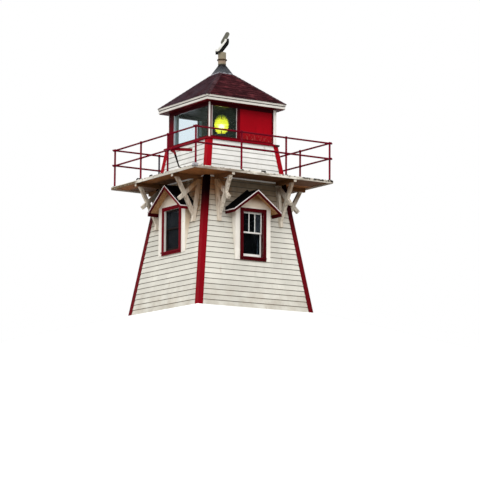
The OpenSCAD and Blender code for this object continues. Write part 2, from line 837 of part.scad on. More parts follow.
module eave_soffit() color(dark_red)
    square_ring(eave_half - eave_t - seat, lantern_half + seat, eave_z + seat, eave_z + seat + soffit_t);

// Half width of the space under the roof at the eave
under_half = eave_half - roof_t / roof_pitch;
cap_lap = roof_t / 2;

module roof() color([0.24, 0.12, 0.15])
    difference() {
        frustum(eave_half, roof_z, cap_half - cap_lap, cap_z + cap_lap * roof_pitch);
        frustum(under_half, roof_z - seat, 0.001, roof_z - seat + under_half * roof_pitch);
        translate([0, 0, roof_z]) cylinder(r = pipe_r - pipe_t, h = far);
    }

// Steep square flashing that laps over the roof's top
module roof_cap() color(steel)
    difference() {
        frustum(cap_half, cap_z, (pipe_r + cap_neck) / sqrt(2), cap_top);
        frustum(cap_half + cut, cap_z - cut * roof_pitch + seat,
            cap_half - cap_lap, cap_z + cap_lap * roof_pitch + seat);
        translate([0, 0, cap_z - cut]) cylinder(r = pipe_r + seat, h = cap_h + 2 * cut);
    }

// Foot of the pipe on the roof's top, and the bar across it that carries the cowl
pipe_foot = cap_z + cap_lap * roof_pitch + seat;
bridge_z = pipe_top - bridge_drop - bridge_h;

module flue_pipe() color(rust)
    difference() {
        union() {
            difference() {
                translate([0, 0, pipe_foot]) cylinder(r = pipe_r, h = pipe_top - pipe_foot);
                translate([0, 0, pipe_foot - cut]) cylinder(r = pipe_r - pipe_t, h = far);
            }
            intersection() {
                translate([-pipe_r, -bridge_w / 2, bridge_z]) cube([2 * pipe_r, bridge_w, bridge_h]);
                cylinder(r = pipe_r - pipe_t / 2, h = pipe_top);
            }
        }
        translate([0, 0, bridge_z - cut]) cylinder(r = spindle_r + spindle_gap, h = bridge_h + 2 * cut);
    }

module pipe_collar() color(rust)
    translate([0, 0, cap_top + collar_up - collar_h / 2]) difference() {
        cylinder(r = collar_r, h = collar_h);
        translate([0, 0, -cut]) cylinder(r = pipe_r + seat, h = collar_h + 2 * cut);
    }

// Cowl

lip_z = pipe_top + cowl_gap;
low_rise = low_bend_r * (1 - cos(hood_slope));
high_rise = high_bend_r * (cos(hood_slope) - cos(hood_slope + hood_curl));
blade_len = (hood_top - lip_z - low_rise - high_rise) / sin(hood_slope);
// Height of the blade over the axis, where the spindle meets it
spindle_top = lip_z + low_rise + (hood_reach - lip_len - low_bend_r * sin(hood_slope)) * tan(hood_slope);

// Stations along the blade's bent line, each [reach, height, slope]
bend_steps = 8;
low_mid = [lip_len - hood_reach, lip_z + low_bend_r];
low_end = low_mid + low_bend_r * [sin(hood_slope), -cos(hood_slope)];
high_mid = low_end + blade_len * [cos(hood_slope), sin(hood_slope)]
    + high_bend_r * [-sin(hood_slope), cos(hood_slope)];
function on_arc(mid, r, slope) = [mid[0] + r * sin(slope), mid[1] - r * cos(slope), slope];
blade_stations = concat([[-hood_reach, lip_z, 0]],
    [for (i = [0:bend_steps]) on_arc(low_mid, low_bend_r, hood_slope * i / bend_steps)],
    [for (i = [0:bend_steps]) on_arc(high_mid, high_bend_r, hood_slope + hood_curl * i / bend_steps)]);
function under(st, depth) = [st[0] + depth * sin(st[2]), st[1] - depth * cos(st[2])];

// Band along the blade, from depth a to depth b under its middle line
module blade_line(a, b)
    polygon(concat([for (st = blade_stations) under(st, a)],
        [for (i = [len(blade_stations) - 1:-1:0]) under(blade_stations[i], b)]));

// Upright slab of a profile that runs out along the cowl's direction
module along_cowl(w, off = 0)
    rotate([0, 0, cowl_turn]) translate([0, off, 0]) rotate([90, 0, 0])
        linear_extrude(w, center = true) children();

module cowl_hood() color([0.06, 0.06, 0.06]) {
    along_cowl(hood_w) blade_line(-hood_t / 2, hood_t / 2);
    for (side = [-1, 1]) along_cowl(cheek_t, side * (hood_w - cheek_t) / 2) intersection() {
        blade_line(0, cheek_d);
        translate([-far, lip_z - lip_cheek_d]) square([2 * far, far]);
    }
    difference() {
        translate([0, 0, bridge_z - spindle_r]) cylinder(r = spindle_r, h = far);
        along_cowl(4 * spindle_r)
            translate([0, spindle_top]) rotate(hood_slope)
                translate([-2 * far, 0]) square([4 * far, 2 * far]);
    }
    translate([0, 0, bridge_z + bridge_h + seat]) cylinder(r = 2 * spindle_r, h = spindle_r);
}

module cowl_rims() color([0.85, 0.85, 0.82])
    for (side = [-1, 1]) along_cowl(2 * cheek_t, side * (hood_w - 2 * cheek_t) / 2)
        blade_line(-hood_t / 2 - rim_h, -hood_t / 2 - seat);

// Round-ended outline of the fin
fin_head = [fin_reach, fin_top - fin_w / 2];
fin_tail = fin_head - (fin_len - fin_w) * [cos(fin_slope), sin(fin_slope)];
fin_steps = 12;
function round_end(mid, turn) = [for (i = [0:fin_steps])
    let (a = turn + 180 * i / fin_steps) mid + fin_w / 2 * [cos(a), sin(a)]];

module cowl_fin() color([0.5, 0.5, 0.44])
    along_cowl(fin_t) difference() {
        union() {
            polygon(concat(round_end(fin_head, fin_slope - 90), round_end(fin_tail, fin_slope + 90)));
            translate([fin_head[0] - fin_w, hood_top - strap_drop - strap_h]) square([fin_w, strap_h]);
        }
        blade_line(-hood_t / 2 - seat, fin_w);
    }

front_wall();
back_wall();
left_wall();
right_wall();
corner_boards();
frieze_boards();
ground_floor();
lantern_floor();
gallery_deck();
deck_fascia();
bracket_beams();
bracket_posts();
bracket_braces();
bracket_struts();
rail_posts();
front_rails();
back_rails();
left_rails();
right_rails();
rail_arm();
dormer_bodies();
dormer_roofs();
dormer_rakes();
window_casings();
upper_sashes();
lower_sashes();
window_glass();
entrance_frame();
entrance_door();
lantern_sill();
lantern_frame();
lantern_trims();
lantern_panels();
lantern_glass();
lantern_ceiling();
lens_pedestal();
lens();
eave_boards();
eave_soffit();
roof();
roof_cap();
flue_pipe();
pipe_collar();
cowl_hood();
cowl_rims();
cowl_fin();
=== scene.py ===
"""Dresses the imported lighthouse: clapboards, shingles, planks, glass, lamp, paint and wear."""

import math
import random
from collections import namedtuple

import bmesh
import bpy
from mathutils import Matrix, Vector, noise


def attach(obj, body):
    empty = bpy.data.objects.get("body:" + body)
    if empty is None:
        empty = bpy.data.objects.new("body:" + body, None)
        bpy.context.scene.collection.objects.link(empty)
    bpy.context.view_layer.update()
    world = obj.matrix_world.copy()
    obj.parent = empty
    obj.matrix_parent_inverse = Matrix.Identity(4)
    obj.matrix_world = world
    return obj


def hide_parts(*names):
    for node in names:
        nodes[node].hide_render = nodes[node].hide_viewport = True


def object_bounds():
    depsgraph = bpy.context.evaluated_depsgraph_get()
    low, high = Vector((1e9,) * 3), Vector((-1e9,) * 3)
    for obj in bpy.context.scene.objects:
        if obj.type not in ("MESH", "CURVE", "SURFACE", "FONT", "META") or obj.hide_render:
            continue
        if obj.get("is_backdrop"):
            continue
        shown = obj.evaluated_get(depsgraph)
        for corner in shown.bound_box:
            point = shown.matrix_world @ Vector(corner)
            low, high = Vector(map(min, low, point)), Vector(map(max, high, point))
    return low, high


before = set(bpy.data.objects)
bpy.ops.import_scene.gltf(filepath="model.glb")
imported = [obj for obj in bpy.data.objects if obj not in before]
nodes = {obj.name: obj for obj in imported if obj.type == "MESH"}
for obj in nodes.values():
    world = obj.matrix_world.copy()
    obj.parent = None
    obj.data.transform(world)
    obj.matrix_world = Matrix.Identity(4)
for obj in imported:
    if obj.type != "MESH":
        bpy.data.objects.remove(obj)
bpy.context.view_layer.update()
scene = bpy.context.scene
# noise_vector, which bends the deck's edge board, gives the same bends each time
noise.seed_set(3)

# Sizes of the CAD part, in metres
BASE_HALF = 1.902
BATTER = 0.1534
TRIM_T = 0.022
CORNER_W = 0.135
WALL_TOP = 4.771
DECK_TOP = 3.751
DECK_LOW = 3.706
DECK_HALF = 2.3
FASCIA_T = 0.03
FRIEZE_LOW = 3.664
BEAM_LOW = 3.594
POST_FOOT = 2.395
MEMBER_W = 0.09
MEMBER_D = 0.104
BRACKETS = ((-1.025, 1.025), (-0.91, 1.05), (-1.025, 1.025), (-0.95, 1.05))
CASING_W = 0.1
CASING_T = 0.025
DORMER_OFF = 0.025
RAKE_OUT = 0.262
RAKE_T = 0.026
RAKE_H = 0.08
GABLE_PITCH = 0.75
DORMER_ROOF_T = 0.032
INNER_BACK = 1.009
SASH_BACK = 0.086
SASH_W = 0.04
SASH_T = 0.036
SASH_SPLIT = 0.53
LANTERN_HALF = 1.097
LANTERN_POST_W = 0.075
FRONT_GLASS_W = 0.849
GLASS_LOW = 4.883
HEAD_LOW = 5.745
EAVE_HALF = 1.333
EAVE_T = 0.03
EAVE_STEP = 0.014
EAVE_LOW = 5.831
ROOF_LOW = 5.997
ROOF_PITCH = 0.844
CAP_HALF = 0.242
CAP_LOW = ROOF_LOW + (EAVE_HALF - CAP_HALF) * ROOF_PITCH
LENS_R = 0.215
LENS_H = 0.57

# Sizes that only the visual model has: clapboards, planks, door boards, shingles, eave, lens
COURSE = 0.15
LAP = 0.018
BUTT = 0.0165
GAP = 0.0015
# Gap between a piece of the visual model and the neighbour that it meets
CLEAR = 0.0005
BOARD_LENGTHS = (0.9, 3.2)
LONGEST_BOARD = 2.6
SHORTEST_END = 0.5
PLANK = 0.14
PLANK_GAP = 0.005
DOOR_BOARDS = 8
SHINGLE_ROW = 0.128
SHINGLE_TAB = 0.3
CAP_ROW = 0.12
EAVE_GROOVE = 5.917
LENS_Z = 5.47
LENS_RINGS = 10
BULB_R = 0.08
BULB_Z = LENS_Z - 0.06
# From where to where the volumes taken out of the clapboards go, measured from the axis
CUT_FROM, CUT_TO = 0.4, 3.0
# Half width that no piece of the visual model passes
REACH = 2.3045

# A gabled piece: its face, the opening's half width, sill and height, the body's half width,
# the roof's peak and half width, and how far right of the face's middle it stands, seen from outside
Gable = namedtuple("Gable", "face open_half sill high body apex roof shift")
WINDOWS = (
    Gable(0, 0.33, 1.45, 1.262, 0.582, 3.318, 0.783, 0.0),
    Gable(1, 0.415, 1.68, 1.165, 0.72, 3.525, 0.895, 0.062),
    Gable(3, 0.415, 1.68, 1.165, 0.72, 3.525, 0.895, 0.062),
)
PORCH = Gable(2, 0.4, 0.15, 1.98, 0.6, 2.909, 0.783, 0.0)
GABLES = (*WINDOWS, PORCH)
FACES = ("front", "right", "back", "left")


def half_at(z):
    """Half width of the tower over its corner boards at height z."""
    return BASE_HALF - BATTER * z


def wall_d(z):
    """Distance of a wall's frame from the axis at height z."""
    return half_at(z) - TRIM_T


def at(k, x, d, z):
    """Point on face k: x across the face seen from outside, d out from the axis, z up."""
    c, s = ((1, 0), (0, 1), (-1, 0), (0, -1))[k]
    return Vector((x * c + d * s, x * s - d * c, z))


def front_of(g):
    """Distance of a gabled piece's boarded front from the axis."""
    return half_at(g.sill - CASING_W) + DORMER_OFF - TRIM_T


def sash_of(g):
    """Distance of a gabled piece's sashes or door from the axis."""
    return front_of(g) + CASING_T - SASH_BACK


def roof_z(g, x):
    """Height of a gabled piece's roof at a distance from its middle."""
    return g.apex - abs(x) * GABLE_PITCH


# Mesh helpers


def loft(bm, rings, closed=False):
    """Closed tube through rings of points, with flat ends unless it is closed on itself."""
    made = [[bm.verts.new(p) for p in ring] for ring in rings]
    n = len(made[0])
    pairs = list(zip(made, made[1:]))
    if closed:
        pairs.append((made[-1], made[0]))
    for a, b in pairs:
        for i in range(n):
            bm.faces.new((a[i], a[(i + 1) % n], b[(i + 1) % n], b[i]))
    if not closed:
        bm.faces.new(made[0][::-1])
        bm.faces.new(made[-1])


def block(bm, origin, a, b, c):
    """Box with one corner at origin and edges a, b and c."""
    o, a, b, c = Vector(origin), Vector(a), Vector(b), Vector(c)
    loft(bm, [[o, o + a, o + a + b, o + b], [o + c, o + c + a, o + c + a + b, o + c + b]])


def face_block(bm, k, x0, x1, d0, d1, z0, z1):
    """Box on face k between two places across, out and up."""
    o = at(k, x0, d0, z0)
    block(bm, o, at(k, x1, d0, z0) - o, at(k, x0, d1, z0) - o, (0, 0, z1 - z0))


def round_bar(bm, p0, p1, r, sides):
    """Round bar from p0 to p1."""
    u = (p1 - p0).normalized().orthogonal().normalized()
    v = (p1 - p0).normalized().cross(u)
    turns = [2 * math.pi * i / sides for i in range(sides)]
    loft(bm, [[p + r * (u * math.cos(t) + v * math.sin(t)) for t in turns] for p in (p0, p1)])


def lathe(bm, profile, height, sides=64):
    """Closed surface of revolution round the axis; the profile's ends lie on the axis."""
    rings = []
    centre = Vector((0, 0, height))
    for r, z in profile:
        turns = [2 * math.pi * i / sides for i in range(sides if r > 0 else 1)]
        ring = [centre + Vector((r * math.cos(t), r * math.sin(t), z)) for t in turns]
        rings.append([bm.verts.new(p) for p in ring])
    for a, b in zip(rings, rings[1:]):
        for i in range(sides):
            j = (i + 1) % sides
            if len(a) == 1:
                bm.faces.new((a[0], b[i], b[j]))
            elif len(b) == 1:
                bm.faces.new((a[i], b[0], a[j]))
            else:
                bm.faces.new((a[i], b[i], b[j], a[j]))


def strip(bm, points, width, thick, side):
    """Bent flat strap through points, with its width along `side`."""
    side = Vector(side).normalized() * width / 2
    points = [Vector(p) for p in points]
    rings = []
    for i, p in enumerate(points):
        along = points[min(len(points) - 1, i + 1)] - points[max(0, i - 1)]
        up = along.cross(side).normalized() * thick / 2
        rings.append([p + side + up, p - side + up, p - side - up, p + side - up])
    loft(bm, rings)


def clip(bm, co, no):
    """Takes away what lies beyond a plane and closes the cut."""
    geom = bm.verts[:] + bm.edges[:] + bm.faces[:]
    bmesh.ops.bisect_plane(bm, geom=geom, dist=1e-6, plane_co=co, plane_no=no, clear_outer=True)
    open_edges = [e for e in bm.edges if e.is_boundary]
    if open_edges:
        bmesh.ops.holes_fill(bm, edges=open_edges, sides=0)


def merge(bm, part):
    """Moves the faces of one bmesh into another."""
    mesh = bpy.data.meshes.new("part")
    part.to_mesh(mesh)
    part.free()
    bm.from_mesh(mesh)
    bpy.data.meshes.remove(mesh)


def as_object(bm, name):
    """Object made of a bmesh, with its faces turned outward."""
    bmesh.ops.recalc_face_normals(bm, faces=bm.faces)
    mesh = bpy.data.meshes.new(name)
    bm.to_mesh(mesh)
    bm.free()
    made = bpy.data.objects.new(name, mesh)
    scene.collection.objects.link(made)
    return made


def give_tones(mesh, seed):
    """One random tone from 0 to 1 for each separate board or shingle."""
    bm = bmesh.new()
    bm.from_mesh(mesh)
    bm.faces.ensure_lookup_table()
    layer = bm.faces.layers.float.new("tone")
    rng = random.Random(seed)
    seen = set()
    for first in bm.faces:
        if first.index in seen:
            continue
        seen.add(first.index)
        stack, tone = [first], rng.random()
        while stack:
            f = stack.pop()
            f[layer] = tone
            for g in (g for e in f.edges for g in e.link_faces if g.index not in seen):
                seen.add(g.index)
                stack.append(g)
    bm.to_mesh(mesh)
    bm.free()


def piece(made, name, material, replaces=(), seed=1, smooth=None):
    """Finished visible piece that rides the tower, from an object or a bmesh."""
    if not isinstance(made, bpy.types.Object):
        made = as_object(made, name)
    made.name = made.data.name = name
    give_tones(made.data, seed)
    made.data.materials.clear()
    made.data.materials.append(material)
    if smooth:
        made.data.shade_smooth()
        made.data.set_sharp_from_angle(angle=math.radians(smooth))
    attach(made, "tower")
    if replaces:
        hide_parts(*replaces)


def applied(target, cutters):
    """The target with the cutters' volumes taken away."""
    for cutter in cutters:
        m = target.modifiers.new("cut", "BOOLEAN")
        m.operation, m.solver, m.object, m.use_self = "DIFFERENCE", "EXACT", cutter, True
    dg = bpy.context.evaluated_depsgraph_get()
    mesh = bpy.data.meshes.new_from_object(target.evaluated_get(dg))
    target.modifiers.clear()
    old = target.data
    target.data = mesh
    bpy.data.meshes.remove(old)
    for cutter in cutters:
        bpy.data.objects.remove(cutter)
    return target


def cad_copy(node):
    """A CAD node's mesh with its corners joined."""
    bm = bmesh.new()
    bm.from_mesh(nodes[node].data)
    bmesh.ops.remove_doubles(bm, verts=bm.verts, dist=1e-5)
    return bm


def eased(node, material, slot, radius, wave=0.0, reshape=None):
    """Copy of a CAD node with worn, rounded edges, which stands for the node."""
    bm = cad_copy(node)
    if reshape:
        for v in bm.verts:
            reshape(v)
    sharp = [e for e in bm.edges if len(e.link_faces) == 2 and e.calc_face_angle(0) > math.radians(30)]
    bmesh.ops.bevel(bm, geom=sharp, offset=radius, segments=2, profile=0.6, affect="EDGES",
                    clamp_overlap=True)
    if wave:
        for v in bm.verts:
            v.co += noise.noise_vector(v.co * 2.3) * wave
    piece(bm, "worn_" + node, material, replaces=(node,), seed=len(node))


def fuller(node, material, by=0.004):
    """Copy of a CAD node, thicker by a few millimetres all round, which stands for the node."""
    bm = cad_copy(node)
    bm.normal_update()
    for v, move in [(v, v.normal * v.calc_shell_factor() * by) for v in bm.verts]:
        v.co += move
        v.co.x = max(-REACH, min(REACH, v.co.x))
        v.co.y = max(-REACH, min(REACH, v.co.y))
    piece(bm, "painted_" + node, material, replaces=(node,), seed=len(node), smooth=40)


# Material helpers


def lin(r, g, b, k=1.0):
    """Linear colour from 0-255 screen values, k times as bright."""
    out = []
    for c in (r / 255, g / 255, b / 255):
        out.append(min(1.0, k * (c / 12.92 if c <= 0.04045 else ((c + 0.055) / 1.055) ** 2.4)))
    return (*out, 1.0)


def put(tree, socket, value):
    """Links or sets one input."""
    if isinstance(value, bpy.types.NodeSocket):
        tree.links.new(value, socket)
    elif value is not None:
        socket.default_value = value


def add_node(tree, kind, *inputs, **settings):
    """New node with its settings and its first inputs."""
    n = tree.nodes.new(kind)
    for key, value in settings.items():
        setattr(n, key, value)
    for i, value in enumerate(inputs):
        put(tree, n.inputs[i], value)
    return n


class Shader:
    """One material, built step by step from small node calls."""

    def __init__(self, name):
        self.material = bpy.data.materials.new(name)
        self.material.use_nodes = True
        self.tree = self.material.node_tree
        self.bsdf = self.tree.nodes["Principled BSDF"]
        self.coords = self.add("ShaderNodeTexCoord").outputs["Object"]
        parts = self.add("ShaderNodeSeparateXYZ", self.coords).outputs
        self.x, self.y, self.z = parts["X"], parts["Y"], parts["Z"]
        self.tone = self.add("ShaderNodeAttribute", attribute_name="tone").outputs["Fac"]

    def add(self, kind, *inputs, **settings):
        """New node of this material."""
        return add_node(self.tree, kind, *inputs, **settings)

    def fill(self, node, **values):
        """Sets inputs by their names, with _ for a space."""
        for key, value in values.items():
            put(self.tree, node.inputs[key.replace("_", " ")], value)
        return node

    def noise(self, scale, detail=4.0, rough=0.55, stretch=None):
        """Noise, finer along the axes where `stretch` is larger."""
        vector = self.coords
        if stretch:
            vector = self.add("ShaderNodeVectorMath", vector, stretch, operation="MULTIPLY").outputs[0]
        n = self.add("ShaderNodeTexNoise")
        return self.fill(n, Vector=vector, Scale=scale, Detail=detail, Roughness=rough).outputs["Fac"]

    def step(self, value, low, high, to_low=0.0, to_high=1.0):
        """Soft step of a value between two limits."""
        n = self.add("ShaderNodeMapRange", value, low, high, to_low, to_high, interpolation_type="SMOOTHSTEP")
        return n.outputs[0]

    def math(self, op, a, b=0.0):
        """Result of one math node."""
        return self.add("ShaderNodeMath", a, b, operation=op).outputs[0]

    def plus(self, a, b):
        """Sum of two values."""
        return self.math("ADD", a, b)

    def minus(self, a, b):
        """Difference of two values."""
        return self.math("SUBTRACT", a, b)

    def most(self, a, b):
        """The larger of two values."""
        return self.math("MAXIMUM", a, b)

    def abs(self, a):
        """Value without its sign."""
        return self.math("ABSOLUTE", a)

    def times(self, first, *others):
        """Product of all values."""
        for value in others:
            first = self.math("MULTIPLY", first, value)
        return first

    def mix(self, fac, a, b, blend="MIX"):
        """From colour a to colour b by a share."""
        n = self.add("ShaderNodeMix", data_type="RGBA", blend_type=blend)
        for i, value in ((0, fac), (6, a), (7, b)):
            put(self.tree, n.inputs[i], value)
        return n.outputs[2]

    def coat(self, base, colour, *shares, k=1.0):
        """A colour laid over the base, as thick as the product of the shares."""
        return self.mix(self.times(*shares), base, lin(*colour, k=k))

    def facing(self, axis, low, high):
        """How far the surface itself looks along one axis of the object."""
        normal = self.add("ShaderNodeTexCoord").outputs["Normal"]
        return self.step(self.add("ShaderNodeSeparateXYZ", normal).outputs[axis], low, high)

    def bump(self, height, strength, distance):
        """Normal of a surface with small unevenness."""
        n = self.add("ShaderNodeBump")
        return self.fill(n, Strength=strength, Distance=distance, Height=height).outputs[0]

    def done(self, colour, rough, normal=None, metal=0.0, gloss=0.12, **sockets):
        """The finished material."""
        self.fill(self.bsdf, Base_Color=colour, Specular_IOR_Level=gloss, Roughness=rough, Metallic=metal,
                  Normal=normal, **sockets)
        return self.material


def painted(name, colour, bare=(112, 96, 78), grime=(112, 92, 70), peel=0.25, dirt=0.3, tone=0.06,
            rough=0.55, grain=(3.0, 3.0, 90.0), streak=(9.0, 9.0, 0.8), shade=None, finish=None):
    """Old paint on wood: faded patches, runs of dirt, grain under the paint and flakes off it."""
    s = Shader(name)
    grain_lines = s.noise(1.0, 5, 0.6, grain)
    base = s.mix(s.step(s.noise(1.1, 5, 0.6), 0.35, 0.68), lin(*colour, k=0.9), lin(*colour, k=1.05))
    if shade:
        base = shade(s, base)
    base = s.mix(s.times(s.tone, tone * 4), base, s.mix(1.0, base, lin(*colour, k=0.62), "MULTIPLY"))
    base = s.coat(base, grime, s.step(grain_lines, 0.5, 0.8, 0.0, 0.14))
    runs = s.step(s.noise(1.0, 4, 0.6, streak), 0.5, 0.82)
    base = s.coat(base, grime, runs, s.step(s.noise(0.7, 2), 0.35, 0.65), dirt)
    flakes = s.plus(s.times(s.noise(16.0, 8, 0.7), 0.75), s.times(grain_lines, 0.25))
    edge = 0.68 - 0.2 * peel
    off = s.times(s.step(flakes, edge, edge + 0.02), s.step(s.noise(1.7, 3), 0.45, 0.62))
    base = s.coat(base, bare, off)
    if finish:
        base = finish(s, base)
    height = s.minus(s.times(grain_lines, 0.5), s.times(off, 0.8))
    rough_map = s.plus(s.step(s.noise(9.0, 4), 0.3, 0.7, rough - 0.08, rough + 0.12), s.times(off, 0.2))
    return s.done(base, rough_map, s.bump(height, 0.5, 0.003), gloss=0.02)


# Where things are: shares from 0 to 1, and a distance


def under_deck(s):
    """Below the deck's upper edge."""
    return s.step(s.z, DECK_TOP - 0.011, DECK_TOP - 0.031)


def front_corner(s):
    """Near the front left corner, under the deck."""
    return s.times(s.step(s.plus(s.x, s.y), -1.85, -2.15), under_deck(s))


def on_left(s, elsewhere=0.0):
    """Out where the left window stands, with another share elsewhere if it is given."""
    return s.step(s.x, -1.2, -1.25, elsewhere, 1.0)


def out_from_axis(s):
    """Distance from the axis toward the nearest face, in metres."""
    return s.most(s.abs(s.x), s.abs(s.y))


# Wall materials


def shade_and_dirt_under_deck(s, base, colour, low, high, amount):
    """Painted shade with dirt and damp in the shelter of the gallery, up to the deck's underside."""
    height = s.step(s.plus(s.z, s.step(s.x, -1.2, -1.5, 0.0, 0.35)), low, high)
    clouds = s.step(s.noise(1.9, 5, 0.65), 0.25, 0.65, 0.65, 1.0)
    return s.coat(base, colour, height, under_deck(s), clouds, amount)


def course_shade(s, base):
    """Painted shade and dirt under each clapboard's edge, painted shade and stains under the gallery, and
    splashes near the ground.
    """
    # Below the deck the walls are a little darker: painted shade with dirt
    below = s.step(s.z, DECK_TOP - 0.011, DECK_TOP - 0.051)
    base = s.mix(below, base, s.mix(1.0, base, lin(238, 235, 228), "MULTIPLY"))
    base = shade_and_dirt_under_deck(s, base, (148, 120, 86), 2.45, 3.3, 0.85)
    stains = s.step(s.noise(1.0, 2, 0.5, (6, 6, 1.2)), 0.4, 0.66)
    corner = s.most(s.step(s.x, -0.85, -1.0, 0.25, 1.0), s.step(s.x, 1.0, 1.2))
    base = s.mix(s.times(stains, corner), base, shade_and_dirt_under_deck(s, base, (112, 76, 42), 2.5, 3.3, 0.9))
    # Painted shade near the deck's underside, except on the left part of the walls, and brown stain with
    # painted shade by the front left corner
    base = s.coat(base, (70, 60, 42), s.step(s.z, 3.05, 3.6), s.step(s.x, -1.05, -0.95), under_deck(s), 0.45)
    base = s.coat(base, (156, 98, 48), front_corner(s), s.step(s.z, 3.0, 3.45, 0.0, 0.8))
    # Painted shade and dirt under each clapboard's lap
    place = s.math("FRACT", s.times(s.z, 1 / COURSE))
    base = s.coat(base, (120, 112, 98), s.step(place, 0.7, 0.95, 0.0, 0.22))
    base = s.coat(base, (82, 74, 62), s.step(place, 0.86, 0.92), s.plus(s.times(below, 0.25), 0.65))
    return s.coat(base, (150, 128, 100), s.step(s.z, 0.9, 0.0), s.step(s.noise(2.6, 4), 0.3, 0.7), 0.35)


def rust_runs(s, base):
    """Thin brown runs below fixings."""
    line = s.step(s.noise(1.0, 2, 0.4, (14.0, 14.0, 0.5)), 0.66, 0.74)
    return s.coat(base, (140, 96, 62), line, s.step(s.noise(1.2, 3), 0.5, 0.62), 0.3)


def sash_finish(s, base):
    """The left window's sashes are near black."""
    return s.mix(on_left(s), base, s.mix(s.step(s.noise(9.0, 4), 0.3, 0.7), lin(26, 22, 20), lin(44, 34, 32)))


def corner_grime_shade_and_light(s, base):
    """The corner boards are darker on the right and back faces, almost black where the gallery shelters them,
    a painted shade with grime, and brighter above it, a painted light.
    """
    base = s.coat(base, (62, 10, 16), s.most(s.step(s.x, 0.9, 1.1), s.step(s.y, 0.9, 1.1)), 0.6)
    # Painted shade with grime under the gallery, then painted light above the deck
    base = s.coat(base, (14, 1, 3), s.step(s.z, 2.1, 3.3), under_deck(s))
    return s.coat(base, (178, 8, 26), s.step(s.z, 3.7, 3.78), 0.6)


def casing_painted_light(s, base):
    """Painted light: the left window's casing and right roof board are brighter than the others."""
    g = WINDOWS[-1]
    slope = s.plus(s.z, s.times(s.plus(s.y, g.shift), GABLE_PITCH))
    dark = s.times(s.step(slope, g.apex - 0.17, g.apex - 0.15), s.step(s.y, -g.shift, 0.05 - g.shift))
    return s.coat(base, (118, 6, 24), on_left(s), s.minus(1.0, dark), 0.75)


def dormer_stains_and_shade(s, base):
    """Brown weathering with painted shade at the top of a dormer's gable, tan below it, and tan painted shade
    on the left window's side.
    """
    height = s.minus(s.z, s.step(s.x, -1.3, -1.4, 0.0, 0.16))
    cloud = s.step(s.noise(3.0, 4), 0.25, 0.6, 0.7, 1.0)
    base = s.coat(base, (206, 176, 140), s.step(height, 2.76, 2.9), cloud, 0.55)
    base = s.coat(base, (134, 88, 44), s.step(height, 2.92, 3.12), cloud, 0.95)
    # Painted shade on the side of the left window's body
    return s.coat(base, (206, 180, 146), s.step(s.x, -1.1, -1.2), s.facing("Y", -0.5, -0.8),
                  s.step(s.z, 2.0, 2.5, 0.25, 0.75))


def soffit_finish(s, base):
    """Unpainted brown boards on the underside of a dormer's roof, black felt on its top."""
    grain = s.step(s.noise(1, 5, 0.6, (20, 20, 4)), 0.3, 0.7)
    base = s.coat(base, (13, 13, 14), s.facing("Z", 0.5, 0.7))
    return s.mix(s.facing("Z", -0.3, -0.5), base, s.mix(grain, lin(172, 126, 84), lin(214, 170, 126)))


clapboard_paint = painted("clapboard_paint", (239, 238, 233), peel=0.1, dirt=0.16, tone=0.04,
                          shade=course_shade, finish=rust_runs, grime=(150, 138, 116), bare=(150, 138, 118))
white_paint = painted("white_paint", (246, 243, 236), peel=0.2, dirt=0.2, tone=0.03, grime=(160, 144, 118),
                      grain=(18, 18, 6))
# The frieze boards' paint is brighter and cleaner than the white paint: painted light on boards in the
# gallery's shade
frieze_paint_lit = painted("frieze_paint_lit", (255, 252, 246), peel=0.02, dirt=0.03, tone=0.01,
                       grime=(190, 180, 160))
sash_paint = painted("sash_paint", (240, 236, 230), peel=0.15, dirt=0.15, tone=0.02, grime=(160, 144, 118),
                     grain=(18, 18, 6), finish=sash_finish)
red_paint = painted("red_paint", (142, 8, 24), peel=0.06, dirt=0.35, tone=0.04, grime=(92, 8, 18),
                    bare=(120, 60, 56), rough=0.42, grain=(30, 30, 3), finish=corner_grime_shade_and_light)
dark_red_paint = painted("dark_red_paint", (76, 5, 12), peel=0.06, dirt=0.4, tone=0.05, grime=(50, 5, 10),
                         bare=(96, 44, 40), rough=0.45, grain=(18, 18, 18), finish=casing_painted_light)
dormer_paint = painted("dormer_paint", (252, 245, 234), peel=0.15, dirt=0.25, tone=0.03,
                       grime=(176, 150, 116), finish=dormer_stains_and_shade, grain=(18, 18, 5))
dormer_roof_paint = painted("dormer_roof_paint", (252, 242, 240), peel=0.1, dirt=0.15, finish=soffit_finish)


# Gallery materials


def bracket_stains_and_shade(s, base):
    """Brown stains that run down from the deck, and painted shade that darkens the brackets under the deck,
    most by the wall at the front left corner and toward the back.
    """
    # Brown stain with painted shade near the deck
    base = s.coat(base, (118, 84, 54), s.step(s.z, 3.1, 3.5), s.step(s.noise(3.4, 5, 0.6), 0.38, 0.58), 0.75)
    inner = s.times(s.step(out_from_axis(s), 1.84, 1.64), s.step(s.z, 2.7, 3.35, 0.1, 0.8))
    base = s.coat(base, (168, 118, 68), inner, front_corner(s))
    far = s.times(s.step(s.x, -1.95, -1.75), s.step(s.y, 0.8, 0.9))
    base = s.coat(base, (88, 74, 54), far, s.step(s.z, 2.9, 3.1, 0.0, 0.75))
    runs = s.step(s.noise(1.0, 4, 0.6, (24, 24, 2.2)), 0.5, 0.64)
    return s.coat(base, (134, 102, 72), runs, s.step(s.z, 2.3, 3.1, 0.2, 0.65))


def beam_finish(s, base):
    """The beams keep their white paint on their ends alone."""
    return s.coat(base, (216, 206, 190), s.step(out_from_axis(s), 2.262, 2.266))


